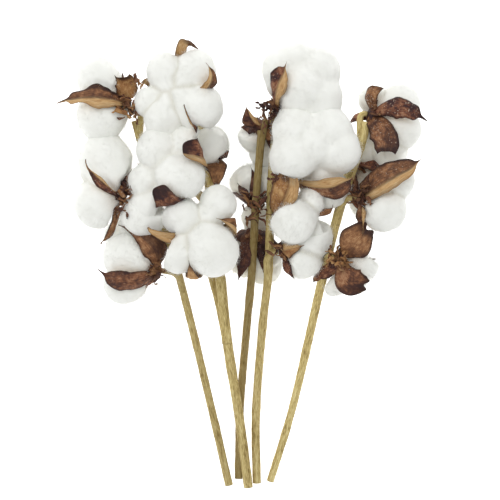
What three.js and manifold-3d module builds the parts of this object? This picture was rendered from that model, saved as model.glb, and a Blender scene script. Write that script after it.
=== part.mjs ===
// A loose bunch of five cotton stems, cut and laid down on a flat surface.
// Millimetres, +Z up. +X runs across the bunch, +Y from the cut ends to the tips.
// The origin is on the surface, under the middle of the bunch.
// Each stem is one solid with its side shoots. Each open boll is two solids:
// the white cotton, and the dry brown burr that holds it.

import * as THREE from "three";
import { mergeVertices } from "three/addons/utils/BufferGeometryUtils.js";
import Module from "manifold-3d";

const wasm = await Module();
wasm.setup();

// Driving dimensions

const CORE_REACH = 13; // cotton packed round the middle of a boll
const FOOT_SHARE = 0.5; // where a lock's foot is, from the cup to the middle of the lock
const FOOT_SIZE = 0.8; // its radius, as a share of the lock's
const NECK_SHARE = 0.5; // where a lock's neck is, from the middle of the boll to that of the lock
const NECK_SIZE = 0.85; // its radius, as a share of the lock's
const LOCK_BLEND = 12; // higher makes the creases between locks sharper
const CUP_TO_COTTON = 7; // height above the base where the locks start

const BOLL_CENTRE = 21; // from the base to the middle of a boll with plain valves
const PLAIN_REACH = 24; // how far from that middle a plain valve bellies out
const PLAIN_TIP = { least: 100, spread: 12 }; // where its tip is, in degrees round from the base
const PLAIN_SCATTER = 14; // how unevenly plain valves stand round the axis, in degrees
const BELLY_SHARE = 0.55; // where a plain valve's belly is, as a share of the way to its tip
const VALVE_HALF_WIDTH = 7; // where the table gives no other
const VALVE_LENGTH = 35; // about the length of a valve
const VALVE_WALL = 0.9; // wall of a valve
const VALVE_KEEL = 0.7; // extra wall along the middle, on the inside
const KEELED_FROM = 5.5; // the half-width from which a valve that is seen has its keel
const VALVE_CUP = 2.2; // how far the edges bend in round the cotton
const VALVE_HOOK = { from: 0.75, out: 3.5 }; // outward hook of the tip, and where it starts
const VALVE_WAVE = { height: 0.7, along: 9, across: 1.5 }; // waviness of the dry edges
const VALVE_STATIONS = [0, 0.28, 0.58, 0.84, 1]; // along the valve

// How wide a valve is there, as a share of its half-width, for each shape of valve.
const LEAF = [0.3, 0.9, 0.85, 0.37, 0.07];
const BOAT = [0.35, 0.93, 1.07, 0.61, 0.07];
const BOWL = [0.85, 1.15, 1.1, 0.54, 0.07];
const SHIELD = [0.8, 1.1, 0.88, 0.46, 0.12];
const SQUARE = [0.6, 0.97, 1.07, 0.94, 0.7];
const HOOD = [0.3, 0.82, 1.15, 1.05, 0.6];
const HEART = [0.35, 0.9, 1.15, 1.0, 0.6];

const VALVE_ROOT = { out: 3.6, up: 2 }; // where a valve starts, from the axis and from the base
const PRESS_STATIONS = [0.15, 0.3, 0.45, 0.6, 0.75, 0.9]; // where a valve presses the cotton in
const PRESS_GAP = 1.6; // from the middle of a valve's wall to the cotton it presses in
const PRESS_EDGE = 4; // how far past a valve's edge the cotton is pressed in
const PRESS_LEAST = 0.7; // no press goes deeper than this share of the core
const CUP_PRESS = { height: 4.5, wide: 5 }; // where the cotton stops over the cup

const CUP_PROFILE = [
  [0, -1.2],
  [5, -1.2],
  [6, 3],
  [0, 4],
]; // radius and height of the small cup under the valves
const CUP_SIDES = 6;
const SHOOT_GAP = 0.35; // between a side shoot and the cup it carries
const SEAT_GAP = 0.45; // between pieces that touch
const SHOOT_RADIUS = 1.9;
const SHOOT_ROOT = 0.95; // radius of a shoot where it leaves its stem, as a share of the stem's
const SHOOT_PULL = [0.45, 0.4]; // how far it runs along its stem, and straight up to its cup
const STEM_SIDES = 6;
const SHOOT_SIDES = 5;
const STEM_STEPS = 9;
const SHOOT_STEPS = 4;
const COTTON_DETAIL = 2; // subdivisions of the icosahedron that the cotton starts as
const SLAB = { wide: 600, deep: 100 }; // what lies under the surface

// Each stem: its route from the cut end to the tip, and its radius at both ends.
const STEMS = {
  1: {
    radii: [2.7, 2.6],
    route: [
      [-9, -157.5, 3], [-20, -108.5, 11], [-44, -8.4, 31],
      [-61, 51, 40], [-74.5, 101, 45],
    ],
  },
  2: {
    radii: [3.2, 3.8],
    route: [
      [4.9, -159, 4.9], [-2.2, -105, 12], [-10.4, -53, 21],
      [-15, -9, 30], [-23, 62, 38], [-28, 100, 42],
    ],
  },
  3: {
    radii: [2.7, 2.7],
    route: [
      [-2.1, -153, 3], [-1.2, -105, 4.3], [3.9, -41, 17],
      [7.3, -3.5, 28], [10.2, 45.5, 42], [14.2, 94, 50],
    ],
  },
  4: {
    radii: [2.9, 2.9],
    route: [
      [10.9, -156, 3], [10.2, -108.5, 9], [15, -41, 23],
      [18.9, -4.9, 31], [20.7, 52.5, 42], [25, 103, 47],
    ],
  },
  5: {
    radii: [2.5, 3.5],
    route: [
      [20.5, -154.7, 3], [35.3, -105, 14.5], [57.4, -7, 37],
      [71, 47.6, 47], [83.7, 85.4, 50], [86.5, 100, 50],
    ],
  },
};

// Each boll: its stem, where its shoot leaves that stem (share of the length), its base,
// the way it points (degrees round from +X, then up), the middle and radius of each lock of
// cotton, and its valves. A valve has the middle of its belly, its tip, half its width, the way
// its belly faces and its shape, and where along it it starts to hold the cotton in. Or it is a
// plain one at a place round the axis, in degrees, with a reach from the middle of the boll and
// a tip that far round from the base, in degrees.
const BOLLS = {
  "1a": {
    stem: 1, from: 0.94, base: [-78, 112, 56], aim: [171, 0],
    locks: [[-100, 130, 53, 14.7], [-98, 104, 52, 17], [-98, 127, 33, 15], [-97, 106, 33, 15]],
    valves: [
      { belly: [-103, 117, 71], tip: [-126, 112.5, 62.5], wide: 7.2, face: [0, 0.3, 1], shape: BOAT },
      { belly: [-80, 122, 61], tip: [-80.5, 131, 64], wide: 7.2, face: [0.1, -0.2, 1], shape: SQUARE },
      { place: 180 },
      { place: 100, tip: 60, reach: 21 },
    ],
  },
  "1b": {
    stem: 1, from: 0.66, base: [-82, 46, 60], aim: [141, 0],
    locks: [[-95, 73, 50, 18.5], [-100, 43, 50, 17.5], [-98, 66, 30, 16], [-98, 48, 30, 16]],
    valves: [
      { belly: [-98, 58, 71], tip: [-110, 71, 72], wide: 3.2, face: [0.8, 0.8, 0.5] },
      { belly: [-89, 26, 50], tip: [-100, 15, 52], wide: 3.6, face: [0.5, -0.6, 0.6] },
      { place: 180 },
      { place: 105, tip: 60, reach: 21 },
    ],
  },
  "1c": {
    stem: 1, from: 0.6, base: [-60, 33, 33], aim: [225, -25],
    locks: [[-69, 34, 58, 15], [-84, 20, 26, 13], [-70, 10, 20, 13], [-79, 23, 11, 13]],
    valves: [
      { place: 100, reach: 21 },
      { place: 140, reach: 21 },
      { place: 218, reach: 21 },
      { place: 260, reach: 21 },
    ],
  },
  "1d": {
    stem: 1, from: 0.52, base: [-57, -4, 52], aim: [176, 5],
    locks: [[-81, 6, 50, 16], [-82, -13, 49, 14.5], [-80, 6, 28, 14.5], [-80, -12, 28, 13.5]],
    valves: [
      { belly: [-62, 14, 64], tip: [-84, 28, 60], wide: 9, face: [0.15, 0.1, 1] },
      { belly: [-79, -12, 69], tip: [-98, -4, 62], wide: 7, face: [0, -0.5, 1], shape: BOAT },
      { place: 140, tip: 60, reach: 20 },
      { place: 225, tip: 60, reach: 20 },
    ],
  },
  "2e": {
    stem: 2, from: 0.94, base: [-41, 117, 46], aim: [90, 78],
    locks: [
      [-52.5, 134, 66, 13.5], [-32, 135, 68, 14.5], [-29, 109, 70, 16.5],
      [-54, 103, 68, 13.5], [-64, 113, 66, 10.5],
    ],
    valves: [
      { belly: [-39, 149, 66], tip: [-37, 157, 77], wide: 5, face: [0.2, 0.5, -1] },
      { belly: [-21.5, 124, 82], tip: [-22, 137, 83], wide: 5.2, face: [0.1, -0.5, 0.9], hold: 0.5 },
      { belly: [-31, 95, 78], tip: [-42, 108, 86], wide: 3.4, face: [0.7, 0.5, 0.5] },
      { belly: [-62, 127, 56], tip: [-66, 126, 66], wide: 5 },
    ],
  },
  "2f": {
    stem: 2, from: 0.72, base: [-53, 71, 44], aim: [90, 82],
    locks: [
      [-38, 83, 66, 14], [-42, 61, 73, 17], [-65, 58, 65, 13],
      [-63, 44, 65, 13], [-58, 80, 66, 15],
    ],
    valves: [
      { belly: [-27, 77, 74], tip: [-41, 79, 88], wide: 8, face: [1, 0.2, 0], shape: HOOD },
      { belly: [-48, 42, 72], tip: [-57, 55, 86], wide: 8, face: [0.2, -1, 0.2], shape: HOOD },
      { place: 180, tip: 55, reach: 22 },
      { place: 275, tip: 55, reach: 22 },
    ],
  },
  "2g": {
    stem: 2, from: 0.8, base: [-20, 72, 32], aim: [92, -10],
    locks: [[-23, 84, 40, 13], [-30, 90, 26, 12], [-20, 87, 26, 10.5], [-22, 82, 12, 13.5]],
    valves: [
      { belly: [-17, 65.5, 49], tip: [-19, 54, 48], wide: 6.6, face: [0.1, 0, 1], shape: SHIELD },
      { belly: [-12, 78, 42], tip: [-8, 78, 45], wide: 2.5, face: [0.2, 0.2, 1] },
      { place: 150, tip: 60, reach: 20 },
      { place: 210, tip: 60, reach: 20 },
    ],
  },
  "2h": {
    stem: 2, from: 0.4, base: [-30, 20, 42], aim: [90, 82],
    locks: [
      [-16, 42.5, 64, 13], [-41, 33, 66, 13.5], [-20, 10, 68, 18.5],
      [-43.5, 7, 65, 13.5], [-30, 24, 62, 13],
    ],
    valves: [
      { belly: [-4, 26, 68], tip: [-18, 32, 80], wide: 6.5, face: [1, -0.2, 0] },
      { belly: [-52, 20, 74], tip: [-68, 25, 67], wide: 5.5, face: [0.1, 0.4, -1] },
      { belly: [-33, -9, 64], tip: [-36, 5, 82], wide: 8, face: [0, -1, -0.3], shape: HOOD },
      { place: 185, tip: 55, reach: 22 },
    ],
  },
  "3j": {
    stem: 3, from: 0.9, base: [16.5, 98, 48], aim: [262, -52],
    locks: [[8.5, 91, 32, 11], [22, 92, 28, 12], [19, 80, 20, 13], [13, 90, 11.5, 13]],
    valves: [
      { belly: [6.5, 101, 53], tip: [6, 110, 54], wide: 5, face: [-0.3, 0.2, 1] },
      { belly: [21, 88, 44], tip: [21, 77, 38], wide: 3.5, face: [0.5, 0, 1] },
      { place: 120, tip: 70, reach: 17 },
      { place: 215, tip: 60, reach: 17 },
    ],
  },
  "3l": {
    stem: 3, from: 0.7, base: [9.5, 42, 30], aim: [98, -6],
    locks: [[7.5, 60, 28, 10.5], [17, 58, 28, 11], [5, 58, 12, 13], [15, 60, 12, 13]],
    valves: [
      { belly: [9, 55, 39], tip: [8, 69, 38], wide: 3.5, face: [0, 0, 1] },
      { belly: [1, 50, 34], tip: [-1, 57, 34], wide: 4 },
      { place: 130, tip: 70, reach: 19 },
      { place: 230, tip: 70, reach: 19 },
    ],
  },
  "3m": {
    stem: 3, from: 0.72, base: [9, 24.5, 28.5], aim: [262, -10],
    locks: [[4, 10, 22, 12], [18, 8, 22, 11], [4, 4, 12, 13], [16, -1, 12, 13], [11, 33, 16, 11]],
    valves: [
      { belly: [1, 6, 33], tip: [0, -10, 25], wide: 6.5, face: [-0.4, 0, 1] },
      { belly: [14, 9, 29], tip: [14, -4, 23], wide: 4, face: [0.3, 0, 1] },
      { place: 100, tip: 60, reach: 19 },
      { place: 270, tip: 60, reach: 19 },
    ],
  },
  "4i": {
    stem: 4, from: 0.94, base: [25, 108.5, 58], aim: [54, 20],
    locks: [
      [28, 137, 62, 13.8], [38, 141, 60, 14], [53, 135, 58, 16],
      [54, 117, 60, 16], [42, 124, 66, 16], [42, 128, 40, 14],
    ],
    valves: [
      { belly: [24.5, 125, 79], tip: [33, 137, 83], wide: 6.8, face: [-0.4, 0.1, 1], shape: BOAT },
      { belly: [52, 103, 62], tip: [60, 106, 70], wide: 5 },
      { place: 150 },
      { place: 215 },
    ],
  },
  "4k": {
    stem: 4, from: 0.78, base: [28, 63, 44], aim: [44, 35],
    locks: [
      [37, 94, 64, 16], [60, 92, 64, 17], [36, 75, 68, 16],
      [67, 79, 64, 16], [51, 84, 67, 15], [62, 53, 50, 13.5],
    ],
    valves: [
      { belly: [58.5, 52, 71], tip: [77, 63, 76], wide: 8, face: [0.1, -0.5, 0.9], shape: BOAT },
      { place: 120, wide: 6 },
      { place: 180 },
      { place: 250 },
    ],
  },
  "4n": {
    stem: 4, from: 0.66, base: [25, 33, 44], aim: [4, 40],
    locks: [[36, 30.5, 66, 15.3], [49, 44, 58, 10.5], [49, 26, 52, 12], [40, 36, 54, 12]],
    valves: [
      { belly: [28, 46.5, 66], tip: [34, 60, 72], wide: 9.5, face: [-0.2, -0.1, 1], shape: SQUARE },
      { belly: [55, 37, 62], tip: [62.5, 38.5, 66], wide: 3.2, face: [0, 0.3, 1] },
      { place: 140, tip: 60, reach: 21 },
      { place: 260, tip: 60, reach: 21 },
    ],
  },
  "4o": {
    stem: 4, from: 0.55, base: [27, 10, 45], aim: [8, 0],
    locks: [[48, 18, 48, 15.5], [43, 4.5, 47, 14], [48, 16, 24, 15], [41, 3, 24, 13]],
    valves: [
      { belly: [32, 10, 60], tip: [43, 13.5, 62], wide: 5.5, face: [0, 0.1, 1] },
      { belly: [31, -2, 52], tip: [38, -9, 50], wide: 4, face: [-0.5, -0.3, 1] },
      { place: 150 },
      { place: 215 },
    ],
  },
  "5p": {
    stem: 5, from: 0.93, base: [89, 105, 50], aim: [-16, -10],
    locks: [
      [93, 115, 42, 11], [111, 113, 42, 14], [112, 95, 42, 14],
      [104, 80, 40, 12.6], [90, 81, 34, 10.5], [103, 97, 26, 14],
    ],
    valves: [
      { belly: [90, 119, 55], tip: [101, 122, 60], wide: 6, face: [-0.3, 0.3, 1] },
      { belly: [110, 109.5, 63], tip: [127, 101, 55], wide: 7, face: [0, 0.2, 1], shape: BOAT },
      { belly: [98.5, 92, 62], tip: [101, 80, 62], wide: 8.8, face: [0, 0, 1], shape: SQUARE },
      { belly: [81, 105, 46], tip: [77, 97, 42], wide: 5 },
    ],
  },
  "5q": {
    stem: 5, from: 0.72, base: [82, 47, 55], aim: [-6, 0],
    locks: [[107, 59, 50, 14], [99, 39, 52, 16], [104, 57, 30, 14.5], [98, 38, 30, 15]],
    valves: [
      { belly: [102, 62, 69], tip: [125, 70.5, 64], wide: 8.8, face: [0, 0.4, 1], shape: BOWL },
      { belly: [83, 34, 57], tip: [86, 21, 63], wide: 5, face: [-0.6, 0, 0.8] },
      { place: 150 },
      { place: 215 },
    ],
  },
  "5r": {
    stem: 5, from: 0.6, base: [68, 5, 56], aim: [-12, -8],
    locks: [
      [83, 2, 44, 14], [74, 24, 34, 11], [64, -12, 36, 10],
      [84, 12, 30, 12], [78, -8, 24, 12],
    ],
    valves: [
      { belly: [77, 14, 64], tip: [86.5, 22, 59], wide: 10.5, face: [0, 0.1, 1], shape: HEART },
      { belly: [74, -9.5, 62], tip: [82, -14, 57], wide: 9, face: [0, -0.1, 1], shape: HEART },
      { belly: [57, -5, 42], tip: [51, -12, 37], wide: 5.5 },
      { place: 180 },
    ],
  },
  "5u": {
    stem: 5, from: 0.8, base: [78, 72, 32], aim: [-50, -20],
    locks: [[98, 60, 26, 12], [88, 46, 26, 12], [100, 58, 12, 13], [90, 46, 12, 13]],
    valves: [{ place: 40 }, { place: 125 }, { place: 230 }, { place: 320 }],
  },
};

const COTTON = new THREE.MeshStandardMaterial({ color: 0xf2f1ec, roughness: 1, metalness: 0 });
const BURR = new THREE.MeshStandardMaterial({ color: 0x6e4426, roughness: 0.75, metalness: 0 });
const STALK = new THREE.MeshStandardMaterial({ color: 0xa8935a, roughness: 0.85, metalness: 0 });

// Small helpers

const radians = THREE.MathUtils.degToRad;
const clamp = THREE.MathUtils.clamp;
const vector = (place) => new THREE.Vector3(...place);
const blend = (a, b, share) => a.clone().lerp(b, share);

// A fixed pseudo-random number from 0 to 1 for a pair of numbers.
function chance(a, b) {
  const large = 43758.5453;
  const value = Math.sin(a * 12.9898 + b * 78.233) * large;
  return value - Math.floor(value);
}

function toSolid(geometry) {
  const bare = geometry.clone();
  for (const name of Object.keys(bare.attributes)) {
    if (name !== "position") bare.deleteAttribute(name);
  }
  const merged = mergeVertices(bare, 1e-4);
  return new wasm.Manifold(
    new wasm.Mesh({
      numProp: 3,
      vertProperties: new Float32Array(merged.attributes.position.array),
      triVerts: new Uint32Array(merged.index.array),
    }),
  );
}

function toGeometry(solid) {
  const mesh = solid.getMesh();
  const geometry = new THREE.BufferGeometry();
  geometry.setAttribute("position", new THREE.BufferAttribute(mesh.vertProperties, 3));
  geometry.setIndex(new THREE.BufferAttribute(mesh.triVerts, 1));
  geometry.computeVertexNormals();
  return geometry;
}

const union = (solids) => solids.reduce((sum, solid) => sum.add(solid));

// The largest body of a solid that cutting may have split.
function mainBody(solid) {
  return solid.decompose().reduce((best, body) => (body.volume() > best.volume() ? body : best));
}

// The frame of a boll: its axis, two directions across it, its base and the middle of its cotton.
function frameOf(boll) {
  const [round, up] = boll.aim.map(radians);
  const level = new THREE.Vector3(Math.cos(round), Math.sin(round), 0);
  const upright = new THREE.Vector3(0, 0, 1);
  const axis = level.clone().multiplyScalar(Math.cos(up)).addScaledVector(upright, Math.sin(up));
  const across = level.clone().multiplyScalar(-Math.sin(up)).addScaledVector(upright, Math.cos(up));
  const side = new THREE.Vector3().crossVectors(axis, across);
  const base = vector(boll.base);
  const middle = new THREE.Vector3();
  for (const [x, y, z] of boll.locks) middle.add(new THREE.Vector3(x, y, z));
  middle.divideScalar(boll.locks.length);
  return { axis, across, side, base, middle };
}

// Valves

// The belly and the tip of a plain valve, which bends round the middle of the boll.
function plainPlaces(frame, entry, seed) {
  const heart = frame.base.clone().addScaledVector(frame.axis, BOLL_CENTRE);
  const round = radians(entry.place + PLAIN_SCATTER * (chance(seed, 1) - 0.5));
  const outward = frame.across.clone().multiplyScalar(Math.cos(round));
  outward.addScaledVector(frame.side, Math.sin(round));
  const reach = entry.reach ?? PLAIN_REACH;
  const tip = radians(entry.tip ?? PLAIN_TIP.least + PLAIN_TIP.spread * chance(seed, 2));
  return [tip * BELLY_SHARE, tip].map((polar) => {
    const place = heart.clone().addScaledVector(frame.axis, -Math.cos(polar) * reach);
    return place.addScaledVector(outward, Math.sin(polar) * reach);
  });
}

// The line that a valve follows, from the cup over its belly to its tip, and which way it
// runs and faces half-way along. Its outer face turns with the line from there to both ends.
function valveOf(frame, entry, seed) {
  const given = entry.belly && [vector(entry.belly), vector(entry.tip)];
  const [belly, end] = given ?? plainPlaces(frame, entry, seed);
  const outward = belly.clone().sub(frame.base);
  outward.addScaledVector(frame.axis, -outward.dot(frame.axis)).normalize();
  const root = frame.base.clone().addScaledVector(frame.axis, VALVE_ROOT.up);
  root.addScaledVector(outward, VALVE_ROOT.out);
  const bend = belly.clone().multiplyScalar(2).sub(blend(root, end, 0.5));
  const along = end.clone().sub(root).normalize();
  const face = entry.face ? vector(entry.face) : belly.clone().sub(frame.middle);
  face.addScaledVector(along, -face.dot(along)).normalize();
  return {
    curve: new THREE.QuadraticBezierCurve3(root, bend, end),
    along,
    face,
    wide: entry.wide ?? VALVE_HALF_WIDTH,
    widths: entry.shape ?? LEAF,
    hold: entry.hold ?? 0,
    keeled: Boolean(entry.face) && entry.wide >= KEELED_FROM,
    phase: 2 * Math.PI * chance(seed, 3),
  };
}

function valvesOf(boll, frame, seed) {
  const apart = 0.37;
  return boll.valves.map((entry, i) => valveOf(frame, entry, seed + i * apart));
}

// A point of a valve's mid-surface, and its outward normal there.
// t runs from root to tip and s from edge to edge; the edges bend in and wave, the tip hooks out.
function valvePoint(valve, t, share, s) {
  const point = valve.curve.getPoint(t);
  const along = valve.curve.getTangent(clamp(t, 0, 1));
  const turn = new THREE.Quaternion().setFromUnitVectors(valve.along, along);
  const out = valve.face.clone().applyQuaternion(turn);
  const across = new THREE.Vector3().crossVectors(along, out);
  const hook = VALVE_HOOK.out * Math.max(0, (t - VALVE_HOOK.from) / (1 - VALVE_HOOK.from)) ** 2;
  const bent = -VALVE_CUP * Math.sin(Math.PI * Math.min(1, t + 0.15)) * s * s;
  const ripple = Math.sin(VALVE_WAVE.along * t + VALVE_WAVE.across * s + valve.phase);
  const wave = VALVE_WAVE.height * ripple * s * s;
  point.addScaledVector(across, s * valve.wide * share).addScaledVector(out, hook + bent + wave);
  return { point, out };
}

// One valve: a box whose length, width and thickness follow the curved mid-surface.
function valveSolid(valve, grow) {
  const steps = VALVE_STATIONS.length - 1;
  const columns = valve.keeled ? 2 : 1;
  const box = new THREE.BoxGeometry(2, 1, 1, columns, steps, 1);
  const places = box.attributes.position;
  for (let i = 0; i < places.count; i += 1) {
    const station = Math.round((places.getY(i) + 0.5) * steps);
    const share = valve.widths[station] + grow / valve.wide;
    const past = (grow / VALVE_LENGTH) * (Number(station === steps) - Number(station === 0));
    const t = VALVE_STATIONS[station] + past;
    const { point, out } = valvePoint(valve, t, share, places.getX(i));
    const outer = places.getZ(i) > 0;
    const keel = outer ? 0 : VALVE_KEEL * (1 - Math.abs(places.getX(i)));
    const offset = VALVE_WALL / 2 + keel + grow;
    point.addScaledVector(out, outer ? offset : -offset);
    places.setXYZ(i, point.x, point.y, point.z);
  }
  return toSolid(box);
}

function cupSolid(frame, grow) {
  const middle = (CUP_PROFILE[0][1] + CUP_PROFILE.at(-1)[1]) / 2;
  const profile = CUP_PROFILE.map(([radius, height]) => {
    const wider = radius > 0 ? radius + grow : 0;
    return new THREE.Vector2(wider, height + Math.sign(height - middle) * grow);
  });
  const cup = new THREE.LatheGeometry(profile, CUP_SIDES);
  const turn = new THREE.Matrix4().makeBasis(frame.side, frame.axis, frame.across);
  cup.applyMatrix4(turn.setPosition(frame.base));
  return toSolid(cup);
}

function burrSolid(boll, seed, grow = 0) {
  const frame = frameOf(boll);
  const valves = valvesOf(boll, frame, seed).map((valve) => valveSolid(valve, grow));
  return union([cupSolid(frame, grow), ...valves]);
}

// Cotton

// The far side of a sphere of middle `at` and given radius, seen from the origin in direction `way`.
function sphereReach(way, at, radius) {
  const ahead = way.dot(at);
  const under = radius * radius - (at.lengthSq() - ahead * ahead);
  return under > 0 ? Math.max(0, ahead + Math.sqrt(under)) : 0;
}

// The spheres that a boll's cotton is made of, from the middle of the boll:
// three for each lock, for its end, its foot towards the cup and its neck towards the middle.
function spheresOf(boll, frame) {
  const cup = frame.base.clone().addScaledVector(frame.axis, CUP_TO_COTTON);
  return boll.locks.flatMap(([x, y, z, radius]) => {
    const lock = new THREE.Vector3(x, y, z);
    const foot = blend(cup, lock, FOOT_SHARE);
    const neck = blend(frame.middle, lock, NECK_SHARE);
    return [
      { at: lock.sub(frame.middle), radius },
      { at: foot.sub(frame.middle), radius: radius * FOOT_SIZE },
      { at: neck.sub(frame.middle), radius: radius * NECK_SIZE },
    ];
  });
}

// Where the cotton is pressed in, from the middle of the boll: over the cup and along each valve.
function pressesOf(boll, frame, seed) {
  const press = (point, wide) => {
    const at = point.sub(frame.middle);
    const distance = at.length();
    return { way: at.normalize(), distance, wide };
  };
  const cup = press(frame.base.clone().addScaledVector(frame.axis, CUP_PRESS.height), CUP_PRESS.wide);
  const along = valvesOf(boll, frame, seed).flatMap((valve) =>
    PRESS_STATIONS.filter((t) => t >= valve.hold).map((t) => {
      const share = Math.sin(Math.PI * (0.12 + 0.8 * t));
      return press(valve.curve.getPoint(t), valve.wide * share);
    }),
  );
  return [cup, ...along];
}

// How far the cotton reaches in direction `way`: a soft maximum of the core and the spheres,
// pressed in under each valve.
function cottonReach(spheres, presses, way) {
  let sum = CORE_REACH ** LOCK_BLEND;
  for (const sphere of spheres) sum += sphereReach(way, sphere.at, sphere.radius) ** LOCK_BLEND;
  const free = sum ** (1 / LOCK_BLEND);
  let reach = free;
  for (const press of presses) {
    const aside = Math.acos(clamp(way.dot(press.way), -1, 1)) * press.distance;
    const cover = 1 - THREE.MathUtils.smoothstep(aside - press.wide, 0, PRESS_EDGE);
    reach = Math.min(reach, free + cover * Math.min(0, press.distance - PRESS_GAP - free));
  }
  return Math.max(reach, CORE_REACH * PRESS_LEAST);
}

function cottonSolid(boll, seed, grow = 0) {
  const frame = frameOf(boll);
  const spheres = spheresOf(boll, frame);
  const presses = pressesOf(boll, frame, seed);
  const ball = new THREE.IcosahedronGeometry(1, COTTON_DETAIL);
  const places = ball.attributes.position;
  const way = new THREE.Vector3();
  for (let i = 0; i < places.count; i += 1) {
    way.fromBufferAttribute(places, i).normalize();
    const reach = cottonReach(spheres, presses, way) + grow;
    const point = way.clone().multiplyScalar(reach).add(frame.middle);
    places.setXYZ(i, point.x, point.y, point.z);
  }
  return toSolid(ball);
}

// Stems

// A round rod along a curve, with flat ends, whose radius changes evenly.
function rodSolid(curve, radii, sides, steps, grow) {
  const rod = new THREE.CylinderGeometry(1, 1, 1, sides, steps);
  const places = rod.attributes.position;
  const frames = curve.computeFrenetFrames(steps, false);
  for (let i = 0; i < places.count; i += 1) {
    const share = places.getY(i) + 0.5;
    const station = Math.round(share * steps);
    const radius = radii[0] + (radii[1] - radii[0]) * share + grow;
    const past = grow * (Number(station === steps) - Number(station === 0));
    const point = curve
      .getPointAt(share)
      .addScaledVector(frames.tangents[station], past)
      .addScaledVector(frames.normals[station], -places.getZ(i) * radius)
      .addScaledVector(frames.binormals[station], -places.getX(i) * radius);
    places.setXYZ(i, point.x, point.y, point.z);
  }
  return toSolid(rod);
}

const stemCurve = (stem) => new THREE.CatmullRomCurve3(stem.route.map(vector), false, "centripetal");

// A side shoot leaves the stem along it and ends square to the cup of its boll.
function shootCurve(stem, boll) {
  const curve = stemCurve(stem);
  const frame = frameOf(boll);
  const start = curve.getPointAt(boll.from);
  const along = curve.getTangentAt(boll.from);
  const end = frame.base.clone().addScaledVector(frame.axis, CUP_PROFILE[0][1] - SHOOT_GAP);
  const span = start.distanceTo(end);
  const leave = start.clone().addScaledVector(along, span * SHOOT_PULL[0]);
  const arrive = end.clone().addScaledVector(frame.axis, -span * SHOOT_PULL[1]);
  return new THREE.CubicBezierCurve3(start, leave, arrive, end);
}

function stemSolid(key, grow = 0) {
  const stem = STEMS[key];
  const shootRadii = [stem.radii[1] * SHOOT_ROOT, SHOOT_RADIUS];
  const rods = Object.values(BOLLS)
    .filter((boll) => String(boll.stem) === key)
    .map((boll) => rodSolid(shootCurve(stem, boll), shootRadii, SHOOT_SIDES, SHOOT_STEPS, grow));
  return union([rodSolid(stemCurve(stem), stem.radii, STEM_SIDES, STEM_STEPS, grow), ...rods]);
}

// Everything below the surface is cut away, so that the lowest cotton rests on a flat spot.
function groundSolid() {
  const slab = new THREE.BoxGeometry(SLAB.wide, SLAB.wide, SLAB.deep);
  slab.translate(0, 0, -SLAB.deep / 2);
  return toSolid(slab);
}

// Building

const names = Object.keys(BOLLS);
const ground = groundSolid();
const stems = Object.keys(STEMS).map((key) => ({
  name: `stem_${key}`,
  solid: stemSolid(key).subtract(ground),
  fat: stemSolid(key, SEAT_GAP),
}));

// Stems and burrs are firm; a later one gives way to an earlier one.
const burrs = [];
names.forEach((name, i) => {
  const fats = [...stems, ...burrs].map((piece) => piece.fat);
  const solid = mainBody(burrSolid(BOLLS[name], i + 1).subtract(union(fats)).subtract(ground));
  burrs.push({ name: `burr_${name}`, solid, fat: burrSolid(BOLLS[name], i + 1, SEAT_GAP) });
});

// Cotton is soft: it gives way to every stem and burr, and to the cotton before it.
const firm = union([...stems, ...burrs].map((piece) => piece.fat));
const cottons = [];
let taken = firm;
names.forEach((name, i) => {
  const solid = mainBody(cottonSolid(BOLLS[name], i + 1).subtract(taken).subtract(ground));
  cottons.push({ name: `cotton_${name}`, solid });
  taken = taken.add(cottonSolid(BOLLS[name], i + 1, SEAT_GAP));
});

const bunch = new THREE.Group();
bunch.name = "cotton_stem_bunch";

function addPieces(pieces, material) {
  for (const piece of pieces) {
    const mesh = new THREE.Mesh(toGeometry(piece.solid), material);
    mesh.name = piece.name;
    bunch.add(mesh);
  }
}

addPieces(stems, STALK);
addPieces(burrs, BURR);
addPieces(cottons, COTTON);

export default bunch;
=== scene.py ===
# %% [markdown]
# # A bunch of cotton stems
#
# Five cut cotton stems lie side by side. Each carries a few open bolls: a small cup on a
# short shoot, the dry brown valves of the seed case (the burr), and the white lint that
# swells out between them in soft locks. The solid model that is loaded first gives every
# stem, burr and boll its place. This script gives them their surfaces.
#
# The table of stems and bolls below is the design of the bunch, in millimetres. Everything
# else is worked out from it, and turned into metres only when a mesh is made.

import bpy
import numpy as np
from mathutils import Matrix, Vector


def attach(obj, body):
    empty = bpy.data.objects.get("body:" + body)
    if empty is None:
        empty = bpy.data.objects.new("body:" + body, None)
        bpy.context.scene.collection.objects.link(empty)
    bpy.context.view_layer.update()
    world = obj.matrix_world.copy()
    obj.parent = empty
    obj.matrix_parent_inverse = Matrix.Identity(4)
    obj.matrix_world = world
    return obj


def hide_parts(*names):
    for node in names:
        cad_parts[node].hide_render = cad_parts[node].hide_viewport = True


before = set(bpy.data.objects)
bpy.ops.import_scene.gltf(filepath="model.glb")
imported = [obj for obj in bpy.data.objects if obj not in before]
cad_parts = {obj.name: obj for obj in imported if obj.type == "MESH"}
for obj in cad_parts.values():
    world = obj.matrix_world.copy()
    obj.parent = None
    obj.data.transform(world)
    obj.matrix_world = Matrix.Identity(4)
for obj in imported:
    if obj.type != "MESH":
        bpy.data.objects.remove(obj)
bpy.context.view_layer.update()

# %% [markdown]
# ## The design of the bunch
#
# A stem is a route from its cut end to its tip. A boll has the stem that carries it, the
# share of that stem at which its shoot starts, a base, an aim in degrees (round from +X,
# then up), the middle and radius of each lock of lint, and its valves. A valve has the middle
# of its belly, its tip, half its width and the way its belly faces, or it is a plain one at a
# place round the boll's axis. Some bolls have more: "furrows" makes the creases between the
# locks shallower, "dark" and "frost" darken the husk or speckle it, and "scraps" are tangles
# of dry strips. Listed points are used because no rule gives the casual way in which
# real stems grow and lie.

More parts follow.
